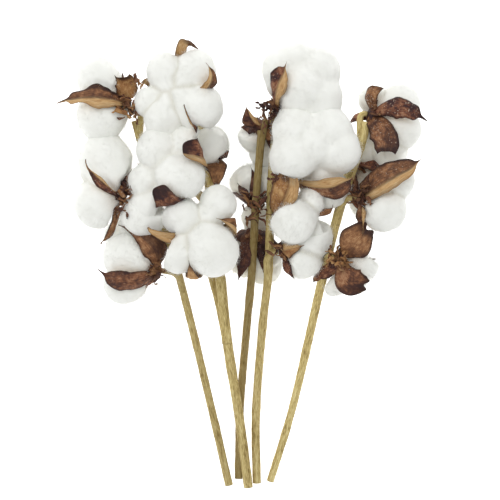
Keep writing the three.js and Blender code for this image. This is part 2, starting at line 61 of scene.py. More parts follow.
# %% The stems and the bolls, in millimetres
STEMS = {
    1: dict(
        radii=(2.7, 2.6),
        route=[[-9, -157.5, 3], [-20, -108.5, 11], [-44, -8.4, 31], [-61, 51, 40], [-74.5, 101, 45]],
    ),
    2: dict(
        radii=(3.2, 3.8),
        route=[
            [4.9, -159, 4.9],
            [-2.2, -105, 12],
            [-10.4, -53, 21],
            [-15, -9, 30],
            [-23, 62, 38],
            [-28, 100, 42],
        ],
    ),
    3: dict(
        radii=(2.7, 2.7),
        route=[
            [-2.1, -153, 3],
            [-1.2, -105, 4.3],
            [3.9, -41, 17],
            [7.3, -3.5, 28],
            [10.2, 45.5, 42],
            [14.2, 94, 50],
        ],
    ),
    4: dict(
        radii=(2.9, 2.9),
        route=[
            [10.9, -156, 3],
            [10.2, -108.5, 9],
            [15, -41, 23],
            [18.9, -4.9, 31],
            [20.7, 52.5, 42],
            [25, 103, 47],
        ],
    ),
    5: dict(
        radii=(2.5, 3.5),
        route=[
            [20.5, -154.7, 3],
            [35.3, -105, 14.5],
            [57.4, -7, 37],
            [71, 47.6, 47],
            [83.7, 85.4, 50],
            [86.5, 100, 50],
        ],
    ),
}

# %% What the table says of a valve and of a tangle
HOLD = 0.06


def given(belly, tip, wide=7.0, face=None, shape="leaf", strip=None, pale=0.0, hold=HOLD, rim=None):
    """A valve with its own belly and tip. A strip is the side, 1 or -1, and the place across, from
    -1 to 1, beyond which its margin is rolled out and shows its pale inside. A rim says the same of
    a margin that is dark. From the share "hold" of its length on, the valve holds the lint in."""
    looks = dict(shape=shape, strip=strip, pale=pale, rim=rim)
    return dict(belly=belly, tip=tip, wide=wide, face=face, hold=hold, **looks)


def plain(place, tip=None, reach=24.0, wide=7.0):
    """A valve that bends evenly round the middle of its boll, at a place round its axis in degrees."""
    looks = dict(shape="leaf", strip=None, pale=0.0, rim=None)
    return dict(place=place, end=tip, reach=reach, wide=wide, hold=HOLD, **looks)


def tangle(middle, half, count, shade):
    """Dry scraps of the calyx that cling together: their middle, half the extent in x and in y
    that they fill, how many there are, and how dark they are, from 0 to 1."""
    return dict(middle=middle, half=half, count=count, shade=shade)


# %% The nineteen bolls
BOLLS = {
    "1a": dict(
        stem=1,
        start=0.94,
        base=[-78, 112, 56],
        scraps=[tangle([-78, 108.5, 66], (7.5, 7), 34, 0.4), tangle([-72, 126, 66], (5, 2), 6, 0.5)],
        aim=(171, 0),
        locks=[[-100, 130, 53, 14.7], [-98, 104, 52, 17], [-98, 127, 33, 15], [-97, 106, 33, 15]],
        valves=[
            given(
                [-103, 117, 71],
                [-126, 112.5, 62.5],
                7.2,
                [0, 0.3, 1],
                shape="wavy",
                strip=(-1, 0.05),
                pale=0.25,
                rim=(1, 0.45),
            ),
            given([-80, 122, 61], [-80.5, 131, 64], 7.2, [0.1, -0.2, 1], shape="square", pale=0.9),
            plain(180),
            plain(100, 60, 21),
        ],
    ),
    "1b": dict(
        stem=1,
        start=0.66,
        base=[-82, 46, 60],
        scraps=[tangle([-80.5, 45, 66], (6, 9.5), 30, 0.8)],
        aim=(141, 0),
        frost=0.7,
        locks=[[-95, 73, 50, 18.5], [-100, 43, 50, 17.5], [-98, 66, 30, 16], [-98, 48, 30, 16]],
        valves=[
            given([-98, 58, 71], [-110, 71, 72], 3.2, [0.8, 0.8, 0.5], strip=(1, 0.3)),
            given([-89, 26, 50], [-100, 15, 52], 3.6, [0.5, -0.6, 0.6], pale=0.4),
            plain(180),
            plain(105, 60, 21),
        ],
    ),
    "1c": dict(
        stem=1,
        start=0.6,
        base=[-60, 33, 33],
        aim=(225, -25),
        locks=[[-69, 34, 58, 15], [-84, 20, 26, 13], [-70, 10, 20, 13], [-79, 23, 11, 13]],
        valves=[plain(100, reach=21), plain(140, reach=21), plain(218, reach=21), plain(260, reach=21)],
    ),
    "1d": dict(
        stem=1,
        start=0.52,
        base=[-57, -4, 52],
        scraps=[tangle([-59, -2, 59], (3.5, 4), 14, 0.85)],
        aim=(176, 5),
        locks=[[-81, 6, 50, 16], [-82, -13, 49, 14.5], [-80, 6, 28, 14.5], [-80, -12, 28, 13.5]],
        valves=[
            given([-62, 14, 64], [-84, 28, 60], 9, [0.15, 0.1, 1], pale=0.3, rim=(1, -0.35)),
            given([-79, -12, 69], [-98, -4, 62], 7, [0, -0.5, 1], shape="boat", pale=0.1),
            plain(140, 60, 20),
            plain(225, 60, 20),
        ],
    ),
    "2e": dict(
        stem=2,
        start=0.94,
        base=[-41, 117, 46],
        aim=(90, 78),
        locks=[
            [-52.5, 134, 66, 13.5],
            [-32, 135, 68, 14.5],
            [-29, 109, 70, 16.5],
            [-54, 103, 68, 13.5],
            [-64, 113, 66, 10.5],
        ],
        valves=[
            given([-41.5, 147.5, 68], [-38, 152, 77], 6.6, [0.2, 0.5, -1], shape="fork", pale=0.7),
            given(
                [-21.5, 124, 82],
                [-22, 137, 83],
                4.6,
                [0.1, -0.5, 0.9],
                strip=(-1, -0.1),
                pale=0.3,
                hold=0.5,
            ),
            given([-31, 95, 78], [-42, 108, 86], 3.4, [0.7, 0.5, 0.5]),
            given([-62, 127, 56], [-66, 126, 66], 5),
        ],
    ),
    "2f": dict(
        stem=2,
        start=0.72,
        base=[-53, 71, 44],
        aim=(90, 82),
        furrows=0.75,
        locks=[
            [-38, 83, 66, 14],
            [-42, 61, 73, 17],
            [-65, 58, 65, 13],
            [-63, 44, 65, 13],
            [-58, 80, 66, 15],
        ],
        valves=[
            given([-27, 77, 74], [-41, 79, 88], 8, [1, 0.2, 0], shape="hood", strip=(-1, 0.4)),
            given([-48, 42, 72], [-57, 55, 86], 8, [0.2, -1, 0.2], shape="hood"),
            plain(180, 55, 22),
            plain(275, 55, 22),
        ],
    ),
    "2g": dict(
        stem=2,
        start=0.8,
        base=[-20, 72, 32],
        aim=(92, -10),
        locks=[[-23, 84, 40, 13], [-30, 90, 26, 12], [-20, 87, 26, 10.5], [-22, 82, 12, 13.5]],
        valves=[
            given([-17, 65.5, 49], [-19, 54, 48], 6.6, [0.1, 0, 1], shape="shield", pale=0.5),
            given([-12, 78, 42], [-8, 78, 45], 2.5, [0.2, 0.2, 1]),
            plain(150, 60, 20),
            plain(210, 60, 20),
        ],
    ),
    "2h": dict(
        stem=2,
        start=0.4,
        base=[-30, 20, 42],
        aim=(90, 82),
        locks=[
            [-16, 42.5, 64, 13],
            [-41, 33, 66, 13.5],
            [-20, 10, 68, 18.5],
            [-43.5, 7, 65, 13.5],
            [-30, 24, 62, 13],
        ],
        valves=[
            given([-4, 26, 68], [-18, 32, 80], 6.5, [1, -0.2, 0], strip=(-1, 0.1), pale=0.4),
            given([-52, 20.5, 74.5], [-68, 26, 68.5], 4.2, [0.1, 0.4, -1]),
            given([-33, -9, 64], [-36, 5, 82], 6, [0, -1, -0.3], pale=0.85),
            plain(185, 55, 22),
        ],
    ),
    "3j": dict(
        stem=3,
        start=0.9,
        base=[16.5, 98, 48],
        dark=0.7,
        aim=(262, -52),
        locks=[[8.5, 91, 32, 11], [22, 92, 28, 12], [19, 80, 20, 13], [13, 90, 11.5, 13]],
        valves=[
            given([5.5, 101, 54], [5, 110, 55], 5.5, [-0.3, 0.2, 1], strip=(1, 0.3)),
            given([21, 88, 44], [21, 77, 38], 3.5, [0.5, 0, 1]),
            plain(120, 70, 17),
            plain(215, 60, 17),
        ],
    ),
    "3l": dict(
        stem=3,
        start=0.7,
        base=[9.5, 42, 30],
        dark=0.75,
        aim=(98, -6),
        locks=[[7.5, 60, 28, 10.5], [17, 58, 28, 11], [5, 58, 12, 13], [15, 60, 12, 13]],
        valves=[
            given([9, 55, 39], [8, 69, 38], 3.5, [0, 0, 1]),
            given([1, 50, 34], [-1, 57, 34], 4),
            plain(130, 70, 19),
            plain(230, 70, 19),
        ],
    ),
    "3m": dict(
        stem=3,
        start=0.72,
        base=[9, 24.5, 28.5],
        dark=0.75,
        aim=(262, -10),
        locks=[[4, 10, 22, 12], [18, 8, 22, 11], [4, 4, 12, 13], [16, -1, 12, 13], [11, 33, 16, 11]],
        valves=[
            given([1, 6, 33], [0, -10, 25], 6.5, [-0.4, 0, 1]),
            given([14, 9, 29], [14, -4, 23], 4, [0.3, 0, 1]),
            plain(100, 60, 19),
            plain(270, 60, 19),
        ],
    ),
    "4i": dict(
        stem=4,
        start=0.94,
        base=[25, 108.5, 58],
        scraps=[tangle([21, 107, 66], (9, 9), 38, 0.95)],
        aim=(54, 20),
        furrows=0.25,
        locks=[
            [28, 137, 62, 13.8],
            [38, 141, 60, 14],
            [53, 135, 58, 16],
            [54, 117, 60, 16],
            [42, 124, 66, 16],
            [42, 128, 40, 14],
        ],
        valves=[
            given([24.5, 125, 79], [33, 137, 83], 6.8, [-0.4, 0.1, 1], shape="boat", strip=(1, 0.05)),
            given([52, 103, 62], [60, 106, 70], 5),
            plain(150),
            plain(215),
        ],
    ),
    "4k": dict(
        stem=4,
        start=0.78,
        base=[28, 63, 44],
        scraps=[tangle([29, 60, 68], (6, 5), 20, 0.9)],
        aim=(44, 35),
        furrows=0.3,
        locks=[
            [37, 94, 64, 16],
            [60, 92, 64, 17],
            [36, 75, 68, 16],
            [67, 79, 64, 16],
            [51, 84, 67, 15],
            [62, 53, 50, 13.5],
        ],
        valves=[
            given(
                [58.5, 52, 71],
                [77, 63, 76],
                8,
                [0.1, -0.5, 0.9],
                shape="boat",
                strip=(-1, 0.1),
                pale=0.15,
            ),
            plain(120, wide=6),
            plain(180),
            plain(250),
        ],
    ),
    "4n": dict(
        stem=4,
        start=0.66,
        base=[25, 33, 44],
        scraps=[tangle([8.5, 41, 46], (6, 12), 26, 0.9)],
        aim=(4, 40),
        locks=[[36, 30.5, 66, 15.3], [49, 44, 58, 10.5], [49, 26, 52, 12], [40, 36, 54, 12]],
        valves=[
            given(
                [28, 46.5, 66],
                [34, 60, 72],
                9.5,
                [-0.2, -0.1, 1],
                shape="square",
                strip=(1, 0.1),
                pale=0.95,
            ),
            given([55, 37, 62], [62.5, 38.5, 66], 3.2, [0, 0.3, 1], pale=0.4),
            plain(140, 60, 21),
            plain(260, 60, 21),
        ],
    ),
    "4o": dict(
        stem=4,
        start=0.55,
        base=[27, 10, 45],
        scraps=[tangle([26, 10, 58], (4, 4), 12, 0.8)],
        aim=(8, 0),
        locks=[[48, 18, 48, 15.5], [43, 4.5, 47, 14], [48, 16, 24, 15], [41, 3, 24, 13]],
        valves=[
            given([32, 10, 60], [43, 13.5, 62], 5.5, [0, 0.1, 1], strip=(-1, 0.0), pale=0.8),
            given([31, -2, 52], [38, -9, 50], 4, [-0.5, -0.3, 1]),
            plain(150),
            plain(215),
        ],
    ),
    "5p": dict(
        stem=5,
        start=0.93,
        base=[89, 105, 50],
        aim=(-16, -10),
        frost=0.75,
        locks=[
            [93, 115, 42, 11],
            [111, 113, 42, 14],
            [112, 95, 42, 14],
            [104, 80, 40, 12.6],
            [90, 81, 34, 10.5],
            [103, 97, 26, 14],
        ],
        valves=[
            given([90, 119, 55], [101, 122, 60], 6, [-0.3, 0.3, 1], pale=0.35),
            given([110, 109.5, 63], [127, 101, 55], 7, [0, 0.2, 1], shape="boat"),
            given([98.5, 92, 62], [101, 80, 62], 8.8, [0, 0, 1], shape="square", pale=0.2),
            given([81, 105, 46], [77, 97, 42], 5),
        ],
    ),
    "5q": dict(
        stem=5,
        start=0.72,
        base=[82, 47, 55],
        scraps=[tangle([83.5, 49, 64], (5.5, 9), 26, 0.95)],
        aim=(-6, 0),
        frost=0.55,
        locks=[[107, 59, 50, 14], [99, 39, 52, 16], [104, 57, 30, 14.5], [98, 38, 30, 15]],
        valves=[
            given([102, 62, 69], [125, 70.5, 64], 8.8, [0, 0.4, 1], shape="bowl", strip=(1, 0.2), pale=0.3),
            given([83, 34, 57], [86, 21, 63], 5, [-0.6, 0, 0.8], strip=(-1, 0.2), pale=0.2),
            plain(150),
            plain(215),
        ],
    ),
    "5r": dict(
        stem=5,
        start=0.6,
        base=[68, 5, 56],
        scraps=[tangle([66, 4, 63], (5.5, 5), 26, 0.3)],
        aim=(-12, -8),
        locks=[[83, 2, 44, 14], [74, 24, 34, 11], [64, -12, 36, 10], [84, 12, 30, 12], [78, -8, 24, 12]],
        valves=[
            given([77, 14, 64], [86.5, 22, 59], 10.5, [0, 0.1, 1], shape="heart", pale=0.4),
            given([74, -9.5, 62], [82, -14, 57], 9, [0, -0.1, 1], shape="heart", pale=0.15),
            given([57, -5, 42], [51, -12, 37], 5.5),
            plain(180),
        ],
    ),
    "5u": dict(
        stem=5,
        start=0.8,
        base=[78, 72, 32],
        aim=(-50, -20),
        locks=[[98, 60, 26, 12], [88, 46, 26, 12], [100, 58, 12, 13], [90, 46, 12, 13]],
        valves=[plain(40), plain(125), plain(230), plain(320)],
    ),
}
print(len(STEMS), "stems,", len(BOLLS), "bolls,", sum(len(b["valves"]) for b in BOLLS.values()), "valves")

# %% [markdown]
# ## Small tools for arrays of points
#
# Every surface here is a function of two parameters, worked out as a whole array of points.
# A few helpers turn such arrays into meshes. A sheet with a thickness is two grids of
# points, an outer and an inner one, joined round the rim, so that it is a closed piece. A
# rod is a stack of rings whose ends are filled. The noise that roughens the shapes is worked
# out here as well, because a few lines give it for a whole array at once.

# %% Vectors, grids and faces
MM = 0.001


def unit(v):
    """Each vector divided by its length."""
    v = np.asarray(v, float)
    return v / np.maximum(np.linalg.norm(v, axis=-1, keepdims=True), 1e-12)


def spokes(angle, across, side):
    """Vectors at angles round an axis: cos(angle) times across plus sin(angle) times side."""
    return np.cos(angle)[..., None] * across + np.sin(angle)[..., None] * side


def round_angles(count):
    """That many angles, evenly spaced round a circle."""
    return np.arange(count) * 2 * np.pi / count


def smooth_step(x, low, high):
    """0 below low and 1 above high, with the curve 3u^2 - 2u^3 between them."""
    u = np.clip((x - low) / (high - low), 0, 1)
    return u * u * (3 - 2 * u)


def grid_faces(rows, columns, closed=False):
    """Quads of a grid of points. A closed grid joins its last column to its first."""
    i, j = np.meshgrid(np.arange(rows - 1), np.arange(columns if closed else columns - 1), indexing="ij")
    k = (j + 1) % columns
    quads = [i * columns + j, i * columns + k, (i + 1) * columns + k, (i + 1) * columns + j]
    return np.stack(quads, axis=-1).reshape(-1, 4)


def signed_volume(points, quads):
    """The volume inside the faces, less than nothing where they face inwards."""
    a, b, c, d = (points[quads[:, n]] for n in range(4))
    return (np.cross(a, b) * c).sum() / 6 + (np.cross(a, c) * d).sum() / 6


def closed_sheet(outer, inner):
    """One closed piece from two grids of points (rows, columns, 3): its points and its quads."""
    rows, columns = outer.shape[:2]
    count = rows * columns
    points = np.concatenate([outer.reshape(-1, 3), inner.reshape(-1, 3)])
    top = grid_faces(rows, columns)
    index = np.arange(count).reshape(rows, columns)
    rim = np.concatenate([index[0], index[1:, -1], index[-1, -2::-1], index[-2:0:-1, 0]])
    after = np.roll(rim, -1)
    edge = np.stack([rim, rim + count, after + count, after], axis=1)
    quads = np.concatenate([top, top[:, ::-1] + count, edge])
    return points, quads if signed_volume(points, quads) > 0 else quads[:, ::-1]


def closed_tube(rings):
    """One closed piece from rings of points (steps, sides, 3), with each end filled from its middle."""
    steps, sides = rings.shape[:2]
    ends = np.stack([rings[0].mean(axis=0), rings[-1].mean(axis=0)])
    points = np.concatenate([rings.reshape(-1, 3), ends])
    j = np.arange(sides)
    k = (j + 1) % sides
    first, last = steps * sides, steps * sides + 1
    start = np.stack([np.full(sides, first), k, j, j], axis=1)
    ring = first - sides
    finish = np.stack([np.full(sides, last), ring + j, ring + k, ring + k], axis=1)
    quads = np.concatenate([grid_faces(steps, sides, closed=True), start, finish])
    return points, quads if signed_volume(points, quads) > 0 else quads[:, ::-1]


# %% Noise that looks the same on every run
HASH_X, HASH_Y, HASH_Z, HASH_SEED = 73856093, 19349663, 83492791, 2654435761
HASH_STIR = 1274126177
HASH_MASK, SHARE_MASK = 0x7FFFFFFF, 0xFFFF
CHANCE_A, CHANCE_B, CHANCE_STIR = 12.9898, 78.233, 43758.5453


def lattice_noise(points, size, seed):
    """Noise from -1 to 1: a fixed random number at each corner of a lattice of cells of that size,
    blended between the eight corners round each point with the curve 3u^2 - 2u^3."""
    scaled = np.asarray(points, float) / size
    cell = np.floor(scaled).astype(np.int64)
    share = scaled - cell
    share = share * share * (3 - 2 * share)
    total = np.zeros(len(scaled))
    for corner in np.ndindex(2, 2, 2):
        at = cell + np.array(corner)
        key = (at[:, 0] * HASH_X) ^ (at[:, 1] * HASH_Y) ^ (at[:, 2] * HASH_Z) ^ (seed * HASH_SEED)
        key = ((key ^ (key >> 13)) * HASH_STIR) & HASH_MASK
        value = ((key >> 8) & SHARE_MASK) / (SHARE_MASK / 2) - 1
        weight = np.where(np.array(corner) == 1, share, 1 - share).prod(axis=1)
        total += value * weight
    return total


def layered_noise(points, layers, seed):
    """The sum of layers of noise, each with the size of its cells, its height and its own seed."""
    return sum(height * lattice_noise(points, size, seed + own) for size, height, own in layers)


def chance(a, b):
    """A fixed random number from 0 to 1 for a pair of numbers."""
    value = np.sin(a * CHANCE_A + b * CHANCE_B) * CHANCE_STIR
    return value - np.floor(value)


# %% Joining closed pieces and making the mesh
def new_mesh(name, points, quads):
    """A mesh of points and quads. A quad whose corner repeats the one before it is a triangle."""
    kept = quads != np.roll(quads, 1, axis=1)
    totals = kept.sum(axis=1)
    mesh = bpy.data.meshes.new(name)
    mesh.vertices.add(len(points))
    mesh.vertices.foreach_set("co", points.astype(np.float32).ravel())
    mesh.loops.add(int(totals.sum()))
    mesh.loops.foreach_set("vertex_index", quads[kept].astype(np.int32))
    mesh.polygons.add(len(quads))
    mesh.polygons.foreach_set("loop_start", (np.cumsum(totals) - totals).astype(np.int32))
    mesh.update(calc_edges=True)
    return mesh


class Parts:
    """Collects closed pieces of one mesh, with numbers for each point that the materials read."""

    def __init__(self):
        self.points, self.quads, self.values, self.count = [], [], [], 0

    def add(self, points, quads, **values):
        """Adds a closed piece. Each value is one number for the piece, or one for each point."""
        self.points.append(points)
        self.quads.append(quads + self.count)
        self.values.append({name: np.broadcast_to(value, len(points)) for name, value in values.items()})
        self.count += len(points)


def make_object(name, parts, material, slot, *nodes):
    """A smooth object of the parts, in metres, which rides on the bunch and stands for the nodes."""
    mesh = new_mesh(name, np.concatenate(parts.points) * MM, np.concatenate(parts.quads))
    names = sorted({key for values in parts.values for key in values})
    for key in names:
        pieces = [v.get(key, np.zeros(len(p))) for v, p in zip(parts.values, parts.points)]
        whole = np.concatenate(pieces).astype(np.float32)
        mesh.attributes.new(key, "FLOAT", "POINT").data.foreach_set("value", whole)
    mesh.shade_smooth()
    mesh.materials.append(material)
    piece = bpy.data.objects.new(name, mesh)
    bpy.context.scene.collection.objects.link(piece)
    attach(piece, "root")
    if nodes:
        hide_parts(*nodes)
    return piece


def triangle_count(piece):
    """How many triangles the faces of an object make."""
    return sum(len(face.vertices) - 2 for face in piece.data.polygons)


# %% [markdown]
# ## Materials
#
# Nothing here is glossy. Lint is almost pure white and scatters light, so a rough white
# with a soft sheen does it. Husks and bark have fibres that run along them, so both use one
# group of nodes for streaks, which reads two numbers that each mesh carries: how far along
# the piece a point is, and how far round or across it. The meshes also carry where a husk is
# dark, pale, speckled or turned inside out, so that one material serves all the burrs.

# %% Colours as they look on a screen, made linear
def screen_colour(red, green, blue):
    """A colour of 0 to 255 for each part, as the linear numbers that a shader takes: below a small
    value a plain share, and above it the standard curve of screens."""
    share = np.array([red, green, blue]) / 255
    linear = np.where(share <= 0.04045, share / 12.92, ((share + 0.055) / 1.055) ** 2.4)
    return (*linear.tolist(), 1.0)


# %% Short names for shader nodes
class Nodes:
    """Adds and joins the nodes of one material or group."""

    def __init__(self, tree):
        self.tree = tree
        self.tree.nodes.clear()

    def add(self, kind, settings=None, **inputs):
        """A new node. An input is given by its name, or as i0, i1 and so on by its number."""
        node = self.tree.nodes.new(kind)
        for key, value in (settings or {}).items():
            setattr(node, key, value)
        for key, value in inputs.items():
            self.put(node.inputs[int(key[1:]) if key[1:].isdigit() else key.replace("_", " ")], value)
        return node

    def put(self, socket, value):
        """Joins another node's output to a socket, or sets the socket's own value."""
        if isinstance(value, bpy.types.NodeSocket):
            self.tree.links.new(value, socket)
        else:
            socket.default_value = value

    def number(self, name):
        """A number that the mesh carries for each point."""
        return self.add("ShaderNodeAttribute", dict(attribute_name=name)).outputs["Fac"]

    def math(self, operation, a, b=0.0, clamp=False):
        """A sum, product or difference of two numbers."""
        node = self.add("ShaderNodeMath", dict(operation=operation, use_clamp=clamp), i0=a, i1=b)
        return node.outputs[0]

    def mix(self, share, a, b):
        """A mix of two colours: a where the share is 0, b where it is 1."""
        node = self.add("ShaderNodeMix", dict(data_type="RGBA", blend_type="MIX"), i0=share, i6=a, i7=b)
        return node.outputs[2]

    def ramp(self, value, *stops):
        """A colour ramp. Each stop is a place from 0 to 1 with its colour, or with a grey."""
        node = self.add("ShaderNodeValToRGB", i0=value)
        elements = node.color_ramp.elements
        for place, colour in stops[2:]:
            elements.new(place)
        for element, (place, colour) in zip(elements, stops):
            element.position = place
        for element, (place, colour) in zip(elements, stops):
            element.color = colour if isinstance(colour, tuple) else (colour, colour, colour, 1)
        return node.outputs["Color"]

    def noise(self, vector, scale, detail=3.0, rough=0.55, distortion=0.0):
        """Noise, from 0 to 1 and mostly near a half."""
        settings = dict(Scale=scale, Detail=detail, Roughness=rough, Distortion=distortion)
        return self.add("ShaderNodeTexNoise", Vector=vector, **settings).outputs["Fac"]

    def blend(self, a, share_a, b, share_b):
        """The sum of two numbers, each times its share."""
        return self.math("ADD", self.math("MULTIPLY", a, share_a), self.math("MULTIPLY", b, share_b))

    def bump(self, shader, height, strength, distance):
        """Gives the shader a normal that follows a height, with the distance in metres."""
        node = self.add("ShaderNodeBump", Strength=strength, Distance=distance, Height=height)
        self.put(shader.inputs["Normal"], node.outputs["Normal"])


def new_material(name, **constants):
    """A material with a Principled shader whose plain values are set on its own sockets."""
    material = bpy.data.materials.new(name)
    material.use_nodes = True
    nodes = Nodes(material.node_tree)
    shader = nodes.add("ShaderNodeBsdfPrincipled", **constants)
    nodes.add("ShaderNodeOutputMaterial", Surface=shader.outputs["BSDF"])
    return material, nodes, shader


# %% One group for every surface with fibres along it
def build_streaks():
    """Streaks: noise that is stretched along a piece. It takes how far along and how far across a
    point is, and gives a fine and a broad mask, from 0 to 1."""
    group = bpy.data.node_groups.new("fibre streaks", "ShaderNodeTree")
    for name in ("Along", "Across", "Seed", "Fineness"):
        group.interface.new_socket(name, in_out="INPUT", socket_type="NodeSocketFloat")
    for name in ("Fine", "Broad"):
        group.interface.new_socket(name, in_out="OUTPUT", socket_type="NodeSocketFloat")
    nodes = Nodes(group)
    given_in = nodes.add("NodeGroupInput").outputs
    across = nodes.math("MULTIPLY", given_in["Across"], given_in["Fineness"])
    place = nodes.add("ShaderNodeCombineXYZ", X=across, Y=given_in["Along"], Z=given_in["Seed"]).outputs[0]
    fine = nodes.noise(place, scale=1.0, detail=4.0, rough=0.6, distortion=0.4)
    broad = nodes.noise(place, scale=0.23, distortion=0.8)
    nodes.add("NodeGroupOutput", Fine=fine, Broad=broad)
    return group


STREAKS = build_streaks()


def streaks(nodes, along, across, seed, fineness):
    """Places the streak group in a material."""
    node = nodes.add("ShaderNodeGroup", dict(node_tree=STREAKS))
    for name, value in (("Along", along), ("Across", across), ("Seed", seed), ("Fineness", fineness)):
        nodes.put(node.inputs[name], value)
    return node.outputs["Fine"], node.outputs["Broad"]


# %% Lint
CREASE_SHADE = 0.8


def lint_material():
    """White lint: a faint mottle, painted shade that greys it a little in the creases and greys and
    warms it near the burr, and fine tangled fibres in the bump."""
    material, nodes, shader = new_material("lint", Roughness=1.0, Sheen_Weight=0.5, Sheen_Roughness=0.6)
    place = nodes.add("ShaderNodeTexCoord").outputs["Object"]
    mottle = nodes.noise(place, scale=90)
    white = nodes.ramp(mottle, (0.3, screen_colour(243, 244, 238)), (0.7, screen_colour(249, 250, 245)))
    # Painted shade: the white is mixed towards a warm grey where two locks meet in a crease.
    painted_crease_shade = nodes.math("MULTIPLY", nodes.number("crease"), CREASE_SHADE)
    shaded = nodes.mix(painted_crease_shade, white, screen_colour(222, 220, 208))
    # Painted shade: near the cup, where the lint meets the burr, it is mixed towards a darker warm grey.
    shade_near_cup = nodes.mix(nodes.number("heart"), shaded, screen_colour(206, 198, 186))
    nodes.put(shader.inputs["Base Color"], shade_near_cup)
    threads = nodes.noise(place, scale=900, detail=4.0, rough=0.65, distortion=1.6)
    lumps = nodes.noise(place, scale=260, detail=2.0, rough=0.5, distortion=0.6)
    nodes.bump(shader, nodes.blend(threads, 0.4, lumps, 0.5), strength=0.25, distance=0.0008)
    return material


# %% Husk
FRAY = 1.1


def husk_material():
    """A dry husk: mottled brown outside with pale specks, nearly black along its edges and at its
    tip, and tan inside. The number "pale" of a piece turns its outside from dark to tan brown."""
    material, nodes, shader = new_material("husk", Roughness=0.68, Specular_IOR_Level=0.3)
    along, across, seed = nodes.number("along"), nodes.number("across"), nodes.number("seed")
    fine, broad = streaks(nodes, along, across, seed, fineness=2.2)
    place = nodes.add("ShaderNodeTexCoord").outputs["Object"]
    mottle = nodes.noise(place, scale=420, rough=0.6)
    patches = nodes.noise(place, scale=85, detail=2.0, rough=0.5, distortion=0.8)
    grain = nodes.blend(fine, 0.3, mottle, 0.25)
    mixed = nodes.math("ADD", grain, nodes.math("MULTIPLY", patches, 0.45))
    dark_husk = nodes.ramp(
        mixed,
        (0.42, screen_colour(52, 29, 32)),
        (0.48, screen_colour(86, 50, 39)),
        (0.54, screen_colour(128, 80, 56)),
        (0.6, screen_colour(164, 120, 90)),
    )
    pale_husk = nodes.ramp(
        mixed,
        (0.38, screen_colour(128, 82, 47)),
        (0.5, screen_colour(170, 124, 77)),
        (0.62, screen_colour(200, 162, 110)),
    )
    outer = nodes.mix(nodes.number("pale"), dark_husk, pale_husk)
    specks = nodes.ramp(nodes.noise(place, scale=900, detail=2.0, rough=0.5), (0.62, 0.0), (0.72, 1.0))
    speckled = nodes.math("MULTIPLY", specks, nodes.number("speckled"))
    outer = nodes.mix(speckled, outer, screen_colour(212, 188, 164))
    inner = nodes.ramp(
        nodes.blend(fine, 0.6, broad, 0.4),
        (0.35, screen_colour(160, 116, 72)),
        (0.5, screen_colour(198, 160, 110)),
        (0.66, screen_colour(222, 194, 150)),
    )
    both = nodes.mix(nodes.number("inside"), outer, inner)
    fray = nodes.math("MULTIPLY", nodes.math("SUBTRACT", broad, 0.5), FRAY)
    ragged = nodes.math("ADD", nodes.number("edge"), fray, clamp=True)
    dark = nodes.math("MULTIPLY", ragged, nodes.number("darkness"))
    nodes.put(shader.inputs["Base Color"], nodes.mix(dark, both, screen_colour(46, 27, 26)))
    height = nodes.math("ADD", nodes.math("MULTIPLY", fine, 0.7), mottle)
    nodes.bump(shader, height, strength=0.6, distance=0.0007)
    return material


# %% Bark
def bark_material():
    """Thin bark: olive tan with lengthwise streaks. The number "darkness" tells the stems apart,
    and "cut" shows the pale wood at their ends."""
    material, nodes, shader = new_material("bark", Roughness=0.72, Specular_IOR_Level=0.3)
    along, across, seed = nodes.number("along"), nodes.number("across"), nodes.number("seed")
    fine, broad = streaks(nodes, along, across, seed, fineness=1.0)
    wood = nodes.ramp(
        nodes.blend(fine, 0.6, broad, 0.4),
        (0.36, screen_colour(138, 116, 64)),
        (0.5, screen_colour(202, 181, 120)),
        (0.64, screen_colour(232, 217, 158)),
    )
    shaded = nodes.mix(nodes.number("darkness"), wood, screen_colour(112, 92, 52))
    shown = nodes.mix(nodes.number("cut"), shaded, screen_colour(206, 188, 142))
    nodes.put(shader.inputs["Base Color"], shown)
    nodes.bump(shader, fine, strength=0.5, distance=0.0005)
    return material


LINT, HUSK, BARK = lint_material(), husk_material(), bark_material()
print("materials:", LINT.name, HUSK.name, BARK.name)

# %% [markdown]
# ## Stems
#
# A cotton stem is a woody rod, nearly round, with fine ribs, slight knots and side shoots
# that part from it at a narrow angle. A ring of points is carried along the stem's smooth
# line. The line is a Catmull-Rom curve, which passes through every point of the route. The
# shoots are cubic Bezier curves that leave along the stem and end square under a boll.

# %% Lines through points
ROUTE_SAMPLES = 60


def lengths_along(line):
    """How far along a line each of its points is."""
    return np.concatenate([[0], np.cumsum(np.linalg.norm(np.diff(line, axis=0), axis=1))])


def evenly(line, count):
    """The same line with that many points, evenly spaced."""
    length = lengths_along(line)
    at = np.linspace(0, length[-1], count)
    return np.stack([np.interp(at, length, line[:, n]) for n in range(3)], axis=1)


def catmull_rom(route, count):
    """Points evenly spaced along a smooth curve through the route. Each stretch is a cubic whose
    slopes at its ends come from the points before and after, weighed by the square root of the
    distances between them (the centripetal form)."""
    p = np.array(route, float)
    p = np.concatenate([[2 * p[0] - p[1]], p, [2 * p[-1] - p[-2]]])
    gap = np.sqrt(np.linalg.norm(np.diff(p, axis=0), axis=1))

    def slope(n):
        """The slope of the curve at a point, from its steps back, ahead and both together."""
        back, ahead, both = p[n] - p[n - 1], p[n + 1] - p[n], p[n + 1] - p[n - 1]
        return back / gap[n - 1] - both / (gap[n - 1] + gap[n]) + ahead / gap[n]

    u = np.linspace(0, 1, ROUTE_SAMPLES, endpoint=False)[:, None]
    stretches = []
    for n in range(1, len(p) - 2):
        a, b = slope(n) * gap[n], slope(n + 1) * gap[n]
        cubic = 2 * p[n] - 2 * p[n + 1] + a + b
        square = -3 * p[n] + 3 * p[n + 1] - 2 * a - b
        stretches.append(p[n] + a * u + square * u**2 + cubic * u**3)
    return evenly(np.concatenate([*stretches, p[-2:-1]]), count)


